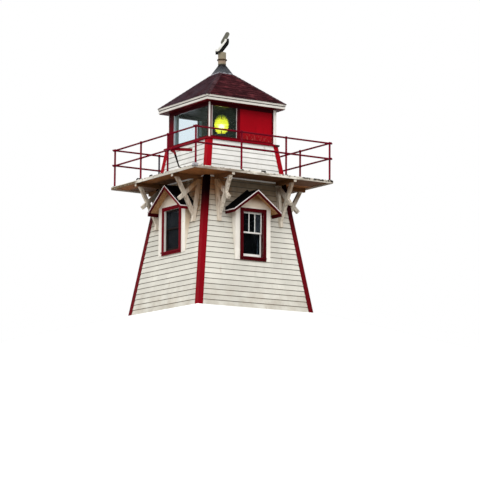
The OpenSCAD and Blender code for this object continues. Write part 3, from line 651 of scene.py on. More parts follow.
def edge_finish(s, base):
    """The deck's edge board: bare at the back of the left side, worn in front, spotted at its right end."""
    front, left = s.step(s.y, -2.2, -2.29), s.step(s.x, -2.2, -2.29)
    right = s.times(front, s.step(s.x, 1.15, 1.5))
    below_top = s.minus(1.0, s.step(s.z, 3.73, 3.738))
    front = s.times(front, below_top)
    wood = s.mix(s.step(s.noise(6.0, 5), 0.3, 0.7), lin(92, 76, 56), lin(128, 108, 84))
    flaky = s.step(s.noise(11.0, 6, 0.7), 0.3, 0.42)
    base = s.mix(s.times(left, s.step(s.y, 0.7, 1.0), flaky, below_top), base, wood)
    base = s.coat(base, (140, 130, 116), s.step(s.noise(7.0, 5, 0.7), 0.56, 0.64), 0.6)
    base = s.coat(base, (134, 120, 104), front, s.step(s.noise(1.0, 5, 0.65, (2.2, 2, 9)), 0.4, 0.56), 0.75)
    base = s.coat(base, (130, 122, 108), front, s.step(s.x, -1.4, -1.25), s.step(s.x, -0.7, -0.85), 0.7)
    base = s.coat(base, (124, 110, 92), front, s.step(s.x, 0.95, 1.35, 0.0, 0.4))
    base = s.coat(base, (126, 100, 84), front, s.step(s.x, -0.8, -1.2, 0.0, 0.45))
    base = s.coat(base, (140, 128, 112), left, s.step(s.y, 0.6, -0.4, 0.0, 0.35))
    spots = s.step(s.plus(s.noise(13.0, 3, 0.5), s.times(right, 0.1)), 0.56, 0.6)
    upper = s.step(s.plus(s.z, s.times(right, 0.03)), 3.715, 3.73)
    base = s.coat(base, (34, 28, 22), spots, upper, s.plus(s.times(right, 0.12), 0.85))
    return s.coat(base, (92, 62, 40), s.facing("Z", -0.2, -0.5))


def post_finish(s, base):
    """Dark feet, and one post at the back that has lost its paint."""
    base = s.coat(base, (40, 26, 26), s.step(s.z, 3.79, 3.775))
    return s.coat(base, (84, 80, 86), s.step(s.abs(s.plus(s.x, 0.742)), 0.08, 0.07), s.step(s.y, 2.1, 2.15))


def rod_finish(s, base):
    """The rod under the arm is bare dark iron."""
    return s.coat(base, (20, 5, 7), s.step(s.z, 4.22, 4.18), s.step(s.y, -1.5, -1.45))


def bare_wood(name, light, dark, grain=(3.0, 3.0, 40.0), under=None):
    """Weathered wood without paint, with other tones on its underside if they are given, painted shade among
    them.
    """
    s = Shader(name)
    lines = s.noise(1.0, 6, 0.65, grain)
    streaks = s.step(lines, 0.3, 0.7)
    base = s.mix(streaks, lin(*dark), lin(*light))
    base = s.coat(base, dark, s.step(s.noise(1.4, 4), 0.4, 0.7, 0.0, 0.5))
    base = s.coat(base, dark, s.tone, 0.7)
    if under:
        brown, tan, shade = under
        low = s.mix(streaks, lin(*brown), lin(*tan))
        low = s.coat(low, shade, s.step(s.noise(3.1, 5, 0.6), 0.5, 0.75, 0.0, 0.6))
        # Painted shade on the underside between the front brackets and near the wall on the left
        low = s.coat(low, shade, s.step(s.y, -1.2, -1.35), s.step(s.x, -1.05, -0.9), 0.75, k=0.8)
        low = s.coat(low, shade, s.step(s.x, -1.9, -1.65), s.step(s.y, -0.3, 0.1), 0.8, k=0.25)
        base = s.mix(s.facing("Z", -0.2, -0.5), base, low)
    return s.done(base, 0.8, s.bump(lines, 0.6, 0.004))


RAIL_WEAR = {"dirt": 0.4, "tone": 0.02, "rough": 0.4, "grain": (10, 10, 10), "streak": (5, 5, 5)}
OLD_RED = {"peel": 0.12, "grime": (44, 14, 20), "bare": (76, 34, 32)}
bracket_paint = painted("bracket_paint", (238, 228, 212), peel=0.35, dirt=0.5, tone=0.08,
                        grime=(156, 124, 92), bare=(150, 124, 98), grain=(14, 14, 14), streak=(6, 6, 2),
                        finish=bracket_stains_and_shade)
beam_paint = painted("beam_paint", (124, 84, 52), peel=0.5, dirt=0.7, tone=0.1, grime=(60, 38, 24),
                     bare=(86, 58, 36), grain=(4, 4, 30), streak=(6, 6, 2), finish=beam_finish)
edge_paint = painted("edge_paint", (238, 232, 220), peel=0.45, dirt=0.4, grime=(140, 118, 92),
                     bare=(132, 110, 84), finish=edge_finish, grain=(5, 5, 60))
rail_paint = painted("rail_paint", (108, 8, 30), **RAIL_WEAR, **OLD_RED)
post_paint = painted("post_paint", (108, 8, 30), finish=post_finish, **RAIL_WEAR, **OLD_RED)
arm_paint = painted("arm_paint", (126, 8, 22), peel=0.08, grime=(84, 8, 16), bare=(88, 52, 40),
                    finish=rod_finish, **RAIL_WEAR)
plank_wood = bare_wood("plank_wood", (150, 132, 108), (96, 80, 62), grain=(4, 4, 40),
                       under=((134, 82, 44), (172, 112, 66), (70, 44, 26)))
floor_wood = bare_wood("floor_wood", (134, 112, 86), (84, 66, 48))
inner_wood = bare_wood("inner_wood", (62, 50, 38), (34, 28, 22))


# Lantern materials


def lantern_inside(s, base):
    """Grey-green paint on whatever looks into the lantern room, with painted shade, near black, from above
    the lamp up.
    """
    inner = s.times(s.step(out_from_axis(s), 1.052, 1.048), s.step(s.z, 6.2, 6.19))
    grey = s.mix(s.step(s.noise(2.2, 4), 0.3, 0.7), lin(56, 70, 66), lin(74, 90, 84))
    # Painted shade above the lamp
    grey = s.coat(grey, (7, 9, 10), s.step(s.z, 5.46, 5.64))
    grey = s.coat(grey, (196, 212, 218), s.step(s.y, 0.9, 0.95), s.step(s.x, -0.8, -0.82))
    return s.mix(inner, base, grey)


def panel_wear_and_shade(s, base):
    """Paint scraped and chalked along the foot of the lantern's panels, darker towards the foot, with painted
    shade under the eave.
    """
    flaky = s.step(s.noise(24.0, 8, 0.75, (1, 1, 0.55)), 0.54, 0.59)
    base = s.coat(base, (204, 124, 112), s.step(s.z, 5.12, 4.85), flaky, 0.85)
    # Painted shade under the eave
    base = s.coat(base, (96, 6, 16), s.step(s.z, 5.45, 5.75, 0.0, 0.35))
    base = s.coat(base, (104, 8, 18), s.step(s.z, 5.15, 4.95, 0.0, 0.4))
    return lantern_inside(s, base)


def frame_paint_and_shade(s, base):
    """The lantern's frame is nearly black under the eave, a painted shade, and pale beside the left window.
    """
    # Painted shade under the eave
    base = s.coat(base, (56, 4, 12), s.step(s.z, 5.3, 5.75))
    reveal = s.times(s.step(s.x, -1.0, -1.004), s.step(s.x, -1.0965, -1.0955), s.step(s.y, 0.75, 0.8))
    return s.coat(lantern_inside(s, base), (186, 200, 206), reveal, s.facing("Y", -0.5, -0.8))


def sill_finish(s, base):
    """The sill's weathered end at the front right."""
    end = s.times(s.step(s.x, 1.02, 1.1), s.step(s.y, -0.9, -1.0))
    return s.coat(base, (62, 58, 52), end, s.step(s.noise(14.0, 5), 0.3, 0.45))


def groove_shade_and_grime(s, base):
    """Painted shade in the groove between the eave's boards, and grime along their upper edge."""
    low = EAVE_GROOVE
    # Painted shade in the groove
    base = s.coat(base, (46, 42, 38), s.step(s.z, low - 0.003, low), s.step(s.z, low + 0.021, low + 0.018))
    return s.coat(base, (150, 140, 128), s.step(s.z, low, low + 0.03, 0.0, 0.15))


panel_paint = painted("panel_paint", (164, 8, 24), peel=0.04, dirt=0.4, tone=0.03, grime=(112, 6, 16),
                      bare=(150, 60, 56), rough=0.4, grain=(40, 40, 2.5), finish=panel_wear_and_shade)
lantern_paint = painted("lantern_paint", (98, 4, 16), peel=0.12, dirt=0.35, tone=0.04, grime=(60, 6, 14),
                        bare=(110, 60, 52), rough=0.42, grain=(18, 18, 18), finish=frame_paint_and_shade)
sill_paint = painted("sill_paint", (138, 10, 28), peel=0.4, dirt=0.45, grime=(62, 8, 16),
                     bare=(116, 84, 72), finish=sill_finish, grain=(18, 18, 18))
eave_paint = painted("eave_paint", (226, 221, 213), peel=0.15, dirt=0.3, tone=0.03, grime=(186, 170, 146),
                     grain=(30, 30, 60), finish=groove_shade_and_grime)
bead_paint = painted("bead_paint", (196, 184, 182), peel=0.3, dirt=0.4, grime=(120, 98, 92),
                     grain=(18, 18, 6))
# Pale paint on the inner stop, tinted blue for the sky light on it: painted light
stop_paint_skylit = painted("stop_paint_skylit", (186, 212, 240), peel=0.1, dirt=0.2, grime=(130, 140, 150))


# Roof and metal materials


def shingle_look(name, low, high, streak, pale, painted_sheen_left=None):
    """Mineral shingles: grains, each tab's own tone, streaks down the slope, and, if given, a grey painted
    sheen with dark blotches on slopes that face left.
    """
    s = Shader(name)
    base = s.mix(s.tone, lin(*low), lin(*high))
    base = s.coat(base, streak, s.step(s.noise(1.0, 4, 0.6, (5, 5, 22)), 0.5, 0.7, 0.0, 0.8))
    if painted_sheen_left:
        # Painted sheen on the slopes that face left
        left = s.facing("X", -0.2, -0.6)
        base = s.coat(base, painted_sheen_left, left, s.step(s.noise(2.4, 4, 0.6), 0.35, 0.6, 0.3, 0.85))
        base = s.coat(base, (34, 18, 24), left, s.step(s.noise(6.0, 6, 0.75), 0.46, 0.6), 0.6)
    grains = s.noise(420.0, 2, 0.6)
    base = s.coat(base, pale, s.step(grains, 0.5, 0.75, 0.0, 0.3))
    base = s.coat(base, pale, s.step(s.noise(3.0, 5, 0.7), 0.6, 0.75, 0.0, 0.3))
    return s.done(base, 0.85, s.bump(grains, 0.5, 0.002), gloss=0.01)


def sheet_metal(name, colour, stain, rough=0.5, metal=0.0, stained=0.5, streak=(9, 9, 1.5), finish=None):
    """Painted or weathered sheet metal."""
    s = Shader(name)
    clouds = s.noise(5.0, 5, 0.6)
    base = s.mix(s.step(clouds, 0.3, 0.7), lin(*colour, k=0.82), lin(*colour, k=1.1))
    base = s.coat(base, stain, s.step(s.noise(1.0, 5, 0.65, streak), 0.48, 0.7, 0.0, stained))
    base = s.coat(base, stain, s.step(s.noise(38.0, 6, 0.7), 0.62, 0.7, 0.0, stained), k=0.7)
    if finish:
        base = finish(s, base)
    return s.done(base, s.step(clouds, 0.3, 0.7, rough, rough + 0.2), s.bump(clouds, 0.15, 0.004), metal)


def pipe_bands(s, base):
    """Soot at the pipe's foot and a red-brown blush between the rings."""
    base = s.coat(base, (34, 30, 30), s.step(s.z, 7.255, 7.215))
    return s.coat(base, (166, 132, 116), s.step(s.z, 7.42, 7.36), s.step(s.z, 7.24, 7.29), 0.45)


def strap_rust(s, base):
    """Rust at the foot of the corner strap."""
    low = s.step(s.z, DECK_TOP - 0.005, DECK_TOP - 0.03)
    return s.coat(base, (44, 36, 26), low, s.step(s.noise(26.0, 4), 0.42, 0.5), 0.9)


def cap_edge(s, base):
    """Dark under the pipe, with pale chalk along the foot."""
    base = s.coat(base, (34, 32, 36), s.step(s.z, 7.02, 7.14, 0.0, 0.6))
    foot = s.step(s.z, CAP_LOW + 0.055, CAP_LOW + 0.035)
    return s.coat(base, (158, 154, 160), foot, s.step(s.noise(16.0, 4), 0.4, 0.5), 0.7)


roof_shingle = shingle_look("roof_shingle", (32, 10, 14), (56, 22, 26), (94, 42, 46), (82, 56, 60),
                            (60, 48, 55))
hip_shingle = shingle_look("hip_shingle", (46, 26, 30), (68, 46, 50), (88, 62, 66), (106, 84, 88),
                           (60, 50, 55))
black_shingle = shingle_look("black_shingle", (8, 8, 9), (16, 15, 16), (26, 24, 25), (44, 42, 43))
flashing_metal = sheet_metal("flashing_metal", (70, 72, 76), (30, 28, 32), metal=0.1, rough=0.6,
                             stained=0.85, streak=(16, 16, 3), finish=cap_edge)
pipe_metal = sheet_metal("pipe_metal", (146, 136, 114), (112, 92, 64), 0.55, 0.1, finish=pipe_bands)
ring_metal = sheet_metal("ring_metal", (66, 48, 28), (38, 26, 16), 0.6, 0.4)
cowl_black = sheet_metal("cowl_black", (12, 12, 11), (28, 25, 20), 0.6, stained=0.3)
cowl_pale = sheet_metal("cowl_pale", (222, 220, 212), (150, 142, 126), stained=0.3)
cowl_grey = sheet_metal("cowl_grey", (104, 103, 92), (80, 76, 62), 0.65)
iron_dark = sheet_metal("iron_dark", (52, 47, 43), (84, 58, 42), 0.65, stained=0.6)
iron_grey = sheet_metal("iron_grey", (182, 180, 184), (96, 88, 84), 0.6, stained=0.6, finish=strap_rust)
rib_brass = sheet_metal("rib_brass", (74, 70, 22), (50, 46, 14), metal=0.3)
stand_metal = sheet_metal("stand_metal", (76, 80, 76), (50, 48, 42), metal=0.3)


# Glass and light


def clear_glass(name, tint, dust, veil, grey):
    """Window glass: clear, glossy where it is seen at a slant, with a little dust."""
    s = Shader(name)
    film = s.times(s.step(s.noise(3.0, 5, 0.6), 0.3, 0.7, 0.3 * dust, dust), on_left(s, 0.25))
    film = s.plus(film, veil(s))
    s.tree.nodes.remove(s.bsdf)
    clear = s.add("ShaderNodeBsdfTransparent", lin(*tint)).outputs[0]
    shine = s.add("ShaderNodeBsdfGlossy", (1, 1, 1, 1), 0.04).outputs[0]
    haze = s.add("ShaderNodeBsdfDiffuse", lin(*grey)).outputs[0]
    fresnel = s.add("ShaderNodeFresnel", 1.06).outputs[0]
    pane = s.add("ShaderNodeMixShader", fresnel, clear, shine).outputs[0]
    pane = s.add("ShaderNodeMixShader", film, pane, haze).outputs[0]
    s.fill(s.tree.nodes["Material Output"], Surface=pane)
    return s.material


def salt_veil(s):
    """Salt on the lantern's front and left panes, thinner toward the back of the left ones."""
    left = s.times(s.step(s.x, -1.03, -1.05), s.step(s.y, 0.2, -0.9, 0.35, 1.1))
    salt = s.step(s.noise(2.2, 4, 0.6), 0.3, 0.7, 0.022, 0.04)
    return s.times(salt, s.most(left, s.step(s.y, -1.03, -1.05)))


def pale_third(s):
    """A paler third pane in the front window's upper sash."""
    g = WINDOWS[0]
    bar = g.shift + (g.open_half - SASH_W) / 3
    meeting = g.sill + g.high * SASH_SPLIT
    pane = s.times(s.step(s.x, bar, bar + 0.01), s.step(s.z, meeting, meeting + 0.05))
    return s.times(pane, s.step(s.y, -1.2, -1.3), s.step(s.noise(5.0, 3), 0.3, 0.7, 0.03, 0.06))


def lens_glass_painted_glow():
    """Yellow pressed glass that glows with the lamp's light painted on it: palest before the lamp, with a
    painted highlight there, and darker toward its edges.
    """
    s = Shader("lens_glass_painted_glow")
    ring = s.math("FRACT", s.times(s.minus(s.z, LENS_Z - LENS_H / 2), LENS_RINGS / LENS_H))
    ridge = s.abs(s.minus(ring, 0.5))
    edge = s.add("ShaderNodeLayerWeight", 0.5).outputs["Facing"]
    away = s.times(s.minus(s.z, BULB_Z), 1 / 0.34)
    away = s.most(away, s.times(away, -0.65))
    dim = s.plus(s.times(away, away), s.times(edge, edge, 0.9))
    dim = s.plus(dim, s.step(s.noise(1.0, 3, 0.6, (34, 34, 14)), 0.35, 0.65, -0.22, 0.22))
    base = s.mix(s.step(ridge, 0.25, 0.5, 0.0, 0.6), lin(252, 252, 56), lin(196, 202, 24))
    base = s.coat(base, (84, 98, 14), s.step(dim, 0.3, 1.1))
    base = s.coat(base, (255, 255, 176), s.step(edge, 0.42, 0.1), s.step(s.abs(away), 0.5, 0.1), 0.75)
    # The glass itself glows: painted light of the lamp inside it
    return s.done(s.mix(0.5, base, lin(0, 0, 0)), 0.2, gloss=0.05, Emission_Color=base,
                  Emission_Strength=0.97, Alpha=0.8)


def lamp_core():
    """The glowing lamp inside the lens."""
    s = Shader("lamp_core")
    glow = s.mix(s.step(s.noise(9.0, 3), 0.3, 0.7), lin(255, 255, 226), lin(255, 255, 246))
    return s.done(glow, 0.4, Emission_Color=lin(255, 255, 240), Emission_Strength=4.0)


lantern_glass = clear_glass("lantern_glass", (246, 250, 252), 0.01, salt_veil, (148, 168, 148))
window_pane = clear_glass("window_pane", (188, 198, 206), 0.03, pale_third, (160, 170, 182))
lens_yellow_glow = lens_glass_painted_glow()
lamp_white = lamp_core()


# Clapboards


def board_ring(k, x0, x1, z0, z1, share):
    """Cross-section of one clapboard at a share of its length."""
    ring = []
    for z, out in ((z0, 0.0075), (z0, BUTT), (z1, 0.0045), (z1, 0.0005)):
        side = half_at(z) - CORNER_W - GAP
        x = max(-side, min(side, x0)) * (1 - share) + max(-side, min(side, x1)) * share
        bow = noise.noise(Vector((x * 0.9, z * 3.1, k * 7.7))) * 0.0006
        sag = noise.noise(Vector((x * 0.8, k, z0 * 5))) * 0.0022
        ring.append(at(k, x, wall_d(z) + out, z) + at(k, 0, bow, 0) + Vector((0, 0, sag)))
    return ring


def board_wall(k):
    """All clapboards of one face, before its openings are cut."""
    rng = random.Random(100 + k)
    bm = bmesh.new()
    for low, high in ((0.004, FRIEZE_LOW - 0.002), (DECK_TOP + 0.003, WALL_TOP - 0.002)):
        z = low
        while z < high - 0.01:
            top = min((math.floor(z / COURSE + 0.001) + 1) * COURSE, high)
            side = half_at(z)
            joints = [-side]
            while (side - joints[-1] > LONGEST_BOARD
                   or (len(joints) == 1 and rng.random() < 0.55 and side > BOARD_LENGTHS[0])):
                step = rng.uniform(*BOARD_LENGTHS)
                if joints[-1] + step > side - SHORTEST_END:
                    break
                joints.append(joints[-1] + step)
            joints.append(side)
            for a, b in zip(joints, joints[1:]):
                x0 = a + (GAP / 2 if a > -side else 0)
                x1 = b - (GAP / 2 if b < side else 0)
                n = max(1, round((x1 - x0) / 0.5))
                loft(bm, [board_ring(k, x0, x1, z, min(top + LAP, high), i / n) for i in range(n + 1)])
            z = top
    return as_object(bm, "boards")


def dormer_cutters(g):
    """Volumes that a gabled piece takes out of the clapboards."""
    c = 0.002
    low = (0.0 if g.face == 2 else g.sill - CASING_W) - c
    body, roof, under = g.body + c, g.roof + c, DORMER_ROOF_T + c
    edge, eave = roof_z(g, g.body) - DORMER_ROOF_T, roof_z(g, g.roof)
    shapes = [[(-body, low), (body, low), (body, edge), (0, g.apex - DORMER_ROOF_T), (-body, edge)],
              [(-roof, eave + c), (0, g.apex + c * 1.4), (roof, eave + c),
               (roof, eave - under), (0, g.apex - under), (-roof, eave - under)]]
    for s in (-1, 1):
        x0, x1 = s * (g.roof - RAKE_T - c), s * roof
        z0, z1 = (roof_z(g, x) - DORMER_ROOF_T for x in (x0, x1))
        shapes.append([(x0, z0 + 0.01), (x1, z1 + 0.01), (x1, z1 - RAKE_H - c), (x0, z0 - RAKE_H - c)])
    out = []
    for shape in shapes:
        bm = bmesh.new()
        loft(bm, [[at(g.face, x + g.shift, d, z) for x, z in shape] for d in (CUT_FROM, CUT_TO)])
        out.append(as_object(bm, "cutter"))
    return out


def bracket_cutter(k):
    """Volume that a face's bracket posts take out of its clapboards."""
    bm = bmesh.new()
    r = MEMBER_W / 2 + 0.001
    tip, high = POST_FOOT - 0.001, BEAM_LOW + 0.06
    profile = [(CUT_FROM, tip + MEMBER_D), (half_at(POST_FOOT), tip), (CUT_TO, tip + MEMBER_D),
               (CUT_TO, high), (CUT_FROM, high)]
    for x in BRACKETS[k]:
        loft(bm, [[at(k, x + s * r, d, z) for d, z in profile] for s in (-1, 1)])
    return as_object(bm, "cutter")


for k in range(4):
    boards = board_wall(k)
    cutters = [c for g in GABLES if g.face == k for c in dormer_cutters(g)]
    walls = applied(boards, cutters + [bracket_cutter(k)])
    piece(walls, "clapboards_" + FACES[k], clapboard_paint, seed=20 + k)


# Shingles


def shingle_rows(bm, origin, u, v, width, length, rng, thick=0.006, overhang=0.012):
    """Lapped tabs on a slope: u runs along the eave, v up the slope."""
    n = u.cross(v).normalized()
    for i in range(math.ceil((length + overhang) / SHINGLE_ROW)):
        v0 = i * SHINGLE_ROW - overhang
        v1 = v0 + SHINGLE_ROW * 1.16
        x = -SHINGLE_TAB * (0.5 if i % 2 else 0.0) - rng.uniform(0, 0.04)
        while x < width:
            w = SHINGLE_TAB * rng.uniform(0.94, 1.05)
            drop = rng.uniform(-0.003, 0.003)
            lift = rng.uniform(0.0, 0.0012)
            corners = ((v0 + drop, 0.0012), (v0 + drop, thick + lift + 0.0012), (v1, 0.0015), (v1, 0.0002))
            loft(bm, [[origin + u * q + v * up + n * out for up, out in corners]
                      for q in (x + 0.002, x + w - 0.002)])
            x += w


def hip_caps(bm, foot, top, wings, rng, reach=0.085, thick=0.006, lift=0.008):
    """Small folded caps up a hip or along a ridge."""
    length = (top - foot).length
    along = (top - foot).normalized()
    up = -(wings[0] + wings[1]).normalized()
    wa, wb = wings[0] * reach, wings[1] * reach
    for i in range(math.ceil(length / CAP_ROW)):
        a = i * CAP_ROW
        b = min(a + CAP_ROW * 1.18, length)
        sections = []
        for t, h in ((a, lift + 0.004 + rng.uniform(0, 0.0015)), (b, lift - 0.002)):
            o = foot + along * t + up * h
            sections.append([o + wa, o, o + wb, o + wb - up * thick, o - up * thick, o + wa - up * thick])
        loft(bm, sections)


rng = random.Random(7)
roof_bm = bmesh.new()
caps_bm = bmesh.new()
slope_len = (EAVE_HALF - CAP_HALF) * math.hypot(1, ROOF_PITCH)
for k in range(4):
    side = bmesh.new()
    u = at(k, 1, 0, 0)
    v = at(k, 0, -1, ROOF_PITCH).normalized()
    foot, top = at(k, -EAVE_HALF, EAVE_HALF, ROOF_LOW), at(k, -CAP_HALF, CAP_HALF, CAP_LOW)
    shingle_rows(side, foot, u, v, 2 * EAVE_HALF, slope_len, rng)
    for s in (-1, 1):
        clip(side, at(k, 0, 0, 0), at(k, s, -1, 0).normalized())
    clip(side, Vector((0, 0, CAP_LOW - 0.001)), Vector((0, 0, 1)))
    merge(roof_bm, side)
    wings = []
    for normal, inward in ((at(k, 0, ROOF_PITCH, 1), u), (at(k, -ROOF_PITCH, 0, 1), at(k, 0, -1, 0))):
        wing = normal.normalized().cross((top - foot).normalized())
        wings.append(wing if wing.dot(inward) > 0 else -wing)
    hip_caps(caps_bm, foot, top, wings, rng)
piece(roof_bm, "roof_shingles", roof_shingle, seed=31)
piece(caps_bm, "roof_hip_caps", hip_shingle, seed=32)

dormer_bm = bmesh.new()
for g in GABLES:
    k = g.face
    out_d = front_of(g) + RAKE_OUT
    deep = out_d - wall_d(g.apex) + 0.05
    for s in (-1, 1):
        side = bmesh.new()
        v = at(k, -s, 0, GABLE_PITCH).normalized()
        near, far = (at(k, g.shift + s * g.roof, d, roof_z(g, g.roof)) for d in (out_d, out_d - deep))
        u = (far - near).normalized()
        if u.cross(v).z < 0:
            u, near = -u, far
        shingle_rows(side, near, u, v, deep, g.roof * math.hypot(1, GABLE_PITCH), rng, thick=0.005,
                     overhang=0.008)
        clip(side, at(k, 0, out_d + 0.006, 0), at(k, 0, 1, 0))
        clip(side, at(k, g.shift, 0, 0), at(k, -s, 0, 0))
        clip(side, at(k, 0, wall_d(0) + BUTT + 0.003, 0), at(k, 0, -1, -BATTER).normalized())
        merge(dormer_bm, side)
    wings = [at(k, s, 0, -GABLE_PITCH).normalized() for s in (-1, 1)]
    ends = (at(k, g.shift, d, g.apex) for d in (out_d + 0.005, wall_d(g.apex) + BUTT + 0.006))
    hip_caps(dormer_bm, *ends, wings, rng, reach=0.07, lift=0.006, thick=0.005)
piece(dormer_bm, "dormer_shingles", black_shingle, seed=33)


# Gallery deck

deck_bm = bmesh.new()
inner = half_at(DECK_TOP) + 0.004
outer = DECK_HALF - FASCIA_T - CLEAR
count = round((outer - inner) / PLANK)
step = (outer - inner) / count
for k in range(4):
    for i in range(count):
        d0 = inner + i * step + PLANK_GAP / 2
        d1 = inner + (i + 1) * step - PLANK_GAP / 2
        z = DECK_TOP - rng.uniform(0.0, 0.002)
        section = ((d0, DECK_LOW), (d1, DECK_LOW), (d1, z), (d0, z))
        loft(deck_bm, [[at(k, s * (d - 0.002), d, h) for d, h in section] for s in (-1, 1)])
piece(deck_bm, "deck_planks", plank_wood, replaces=("gallery_deck",), seed=41)


# Timber and trim with worn edges, rails under thick paint, and CAD nodes with a new finish


def widen(v):
    """The corner boards look wider on the left face, and a little wider on the front."""
    half = half_at(v.co.z)
    if v.co.x < 0.08 - half and abs(v.co.y) < half - 0.1:
        v.co.y -= math.copysign(0.045, v.co.y)
    if v.co.y < 0.08 - half and abs(v.co.x) < half - 0.1:
        v.co.x -= math.copysign(0.018, v.co.x)


for worn in (("bracket_posts", bracket_paint, "brackets", 0.004),
             ("bracket_braces", bracket_paint, "brackets", 0.004),
             ("bracket_struts", bracket_paint, "brackets", 0.004),
             ("bracket_beams", beam_paint, "brackets", 0.004),
             ("corner_boards", red_paint, "red_trim", 0.002, 0.0, widen),
             ("frieze_boards", frieze_paint_lit, "white_trim", 0.002),
             ("deck_fascia", edge_paint, "white_trim", 0.004, 0.003),
             ("dormer_rakes", dark_red_paint, "dark_red", 0.002),
             ("dormer_bodies", dormer_paint, "white_trim", 0.002),
             ("window_casings", dark_red_paint, "dark_red", 0.003),
             ("entrance_frame", dark_red_paint, "dark_red", 0.003),
             ("upper_sashes", sash_paint, "white_trim", 0.002),
             ("lower_sashes", sash_paint, "white_trim", 0.002),
             ("eave_soffit", dark_red_paint, "dark_red", 0.001),
             ("lantern_sill", sill_paint, "red_trim", 0.005),
             ("lantern_frame", lantern_paint, "dark_red", 0.002),
             ("lantern_trims", white_paint, "white_trim", 0.002),
             ("lantern_panels", panel_paint, "red_panel", 0.001)):
    eased(*worn)

for node, material in (("front_wall", inner_wood), ("back_wall", inner_wood), ("left_wall", inner_wood),
                       ("right_wall", inner_wood), ("ground_floor", floor_wood),
                       ("lantern_floor", floor_wood), ("lantern_ceiling", lantern_paint),
                       ("dormer_roofs", dormer_roof_paint), ("window_glass", window_pane),
                       ("lantern_glass", lantern_glass), ("roof", roof_shingle),
                       ("roof_cap", flashing_metal), ("flue_pipe", pipe_metal), ("pipe_collar", ring_metal),
                       ("cowl_hood", cowl_black), ("cowl_rims", cowl_pale), ("cowl_fin", cowl_grey)):
    for i in range(len(nodes[node].data.materials)):
        nodes[node].data.materials[i] = material

fuller("rail_posts", post_paint)
fuller("rail_arm", arm_paint, 0.003)
for side in FACES:
    fuller(side + "_rails", rail_paint)


# Eave boards with a groove between the lower and the upper board

eave_bm = bmesh.new()
low_d, high_d, back_d = EAVE_HALF - EAVE_STEP, EAVE_HALF, EAVE_HALF - EAVE_T + CLEAR
foot, groove = EAVE_LOW + 0.02, EAVE_GROOVE
eave_profile = [(back_d, foot), (low_d - 0.003, foot), (low_d, foot + 0.003), (low_d, groove - 0.004),
                (low_d - 0.004, groove), (back_d + 0.003, groove + 0.001), (back_d + 0.003, groove + 0.016),
                (high_d - 0.004, groove + 0.017), (high_d, groove + 0.021), (high_d, ROOF_LOW - 0.003),
                (back_d, ROOF_LOW - CLEAR)]
loft(eave_bm, [[at(k, -d, d, z) for d, z in eave_profile] for k in range(4)], closed=True)
piece(eave_bm, "eave_mouldings", eave_paint, replaces=("eave_boards",), seed=50)


# Windows and door

# The left window has no bars
bars_bm = bmesh.new()
for g in WINDOWS[:2]:
    low = g.sill + g.high * SASH_SPLIT + SASH_W - 0.001
    for i in (-1, 1):
        x = g.shift + i * (g.open_half - SASH_W) / 3
        face_block(bars_bm, g.face, x - 0.011, x + 0.011, sash_of(g) - SASH_T + 0.004, sash_of(g) - 0.004,
                   low, g.sill + g.high - SASH_W + 0.001)
piece(bars_bm, "window_bars", white_paint, seed=51)

# Lining boards at the sides of the openings
for gables, name, material, slot in ((WINDOWS[2:], "pale_linings", white_paint, "white_trim"),
                                     ((*WINDOWS[:2], PORCH), "red_linings", dark_red_paint, "dark_red")):
    lining_bm = bmesh.new()
    for g in gables:
        for i in (-1, 1):
            edge = g.shift + i * (g.open_half - CLEAR)
            x0, x1 = sorted((edge, edge - i * 0.011))
            face_block(lining_bm, g.face, x0, x1, sash_of(g) + 0.001, front_of(g) - 0.001,
                       g.sill + CLEAR, g.sill + g.high - CLEAR)
    piece(lining_bm, name, material, seed=53)

# Boarded door with strap hinges and a handle, closed in its frame
k, door_half, door_low, door_top = PORCH.face, PORCH.open_half, PORCH.sill, PORCH.sill + PORCH.high
door_d = sash_of(PORCH)
out_d = door_d + 0.0435
groove = 0.005
door_bm = bmesh.new()
face_block(door_bm, k, -door_half + CLEAR, door_half - CLEAR, door_d + 0.001, door_d + 0.026,
           door_low + CLEAR, door_top - CLEAR)
width = 2 * (door_half - 0.002) / DOOR_BOARDS
for i in range(DOOR_BOARDS):
    x0, x1 = (-door_half + 0.002 + n * width for n in (i, i + 1))
    section = ((x0, door_d + 0.027), (x1, door_d + 0.027), (x1, out_d - groove),
               (x1 - groove, out_d), (x0 + groove, out_d), (x0, out_d - groove))
    loft(door_bm, [[at(k, x, d, z) for x, d in section] for z in (door_low + 0.002, door_top - 0.002)])
piece(door_bm, "door_boards", red_paint, replaces=("entrance_door",), seed=54)
iron_bm = bmesh.new()
hinge_x, grip_x = -door_half + 0.03, door_half - 0.08
for z in (door_low + 0.28, door_top - 0.32):
    face_block(iron_bm, k, hinge_x, door_half - 0.25, out_d, out_d + 0.005, z - 0.02, z + 0.02)
    round_bar(iron_bm, *(at(k, hinge_x, out_d + 0.007, z + h) for h in (-0.05, 0.05)), 0.0065, 12)
    for x in (-0.3, -0.12, 0.08):
        round_bar(iron_bm, at(k, x, out_d + 0.004, z), at(k, x, out_d + 0.009, z), 0.008, 8)
# The handle's plate, then how far out and how high each of its three bars starts and ends
face_block(iron_bm, k, grip_x - 0.02, grip_x + 0.02, out_d, out_d + 0.004, 1.06, 1.26)
for d0, z0, d1, z1 in ((0.004, 1.09, 0.03, 1.09), (0.03, 1.083, 0.03, 1.217), (0.004, 1.21, 0.03, 1.21)):
    round_bar(iron_bm, at(k, grip_x, out_d + d0, z0), at(k, grip_x, out_d + d1, z1), 0.007, 10)
piece(iron_bm, "door_iron", iron_dark, seed=55)


# Glazing beads of the lantern's front window, and a pale stop on the inside of the back wall

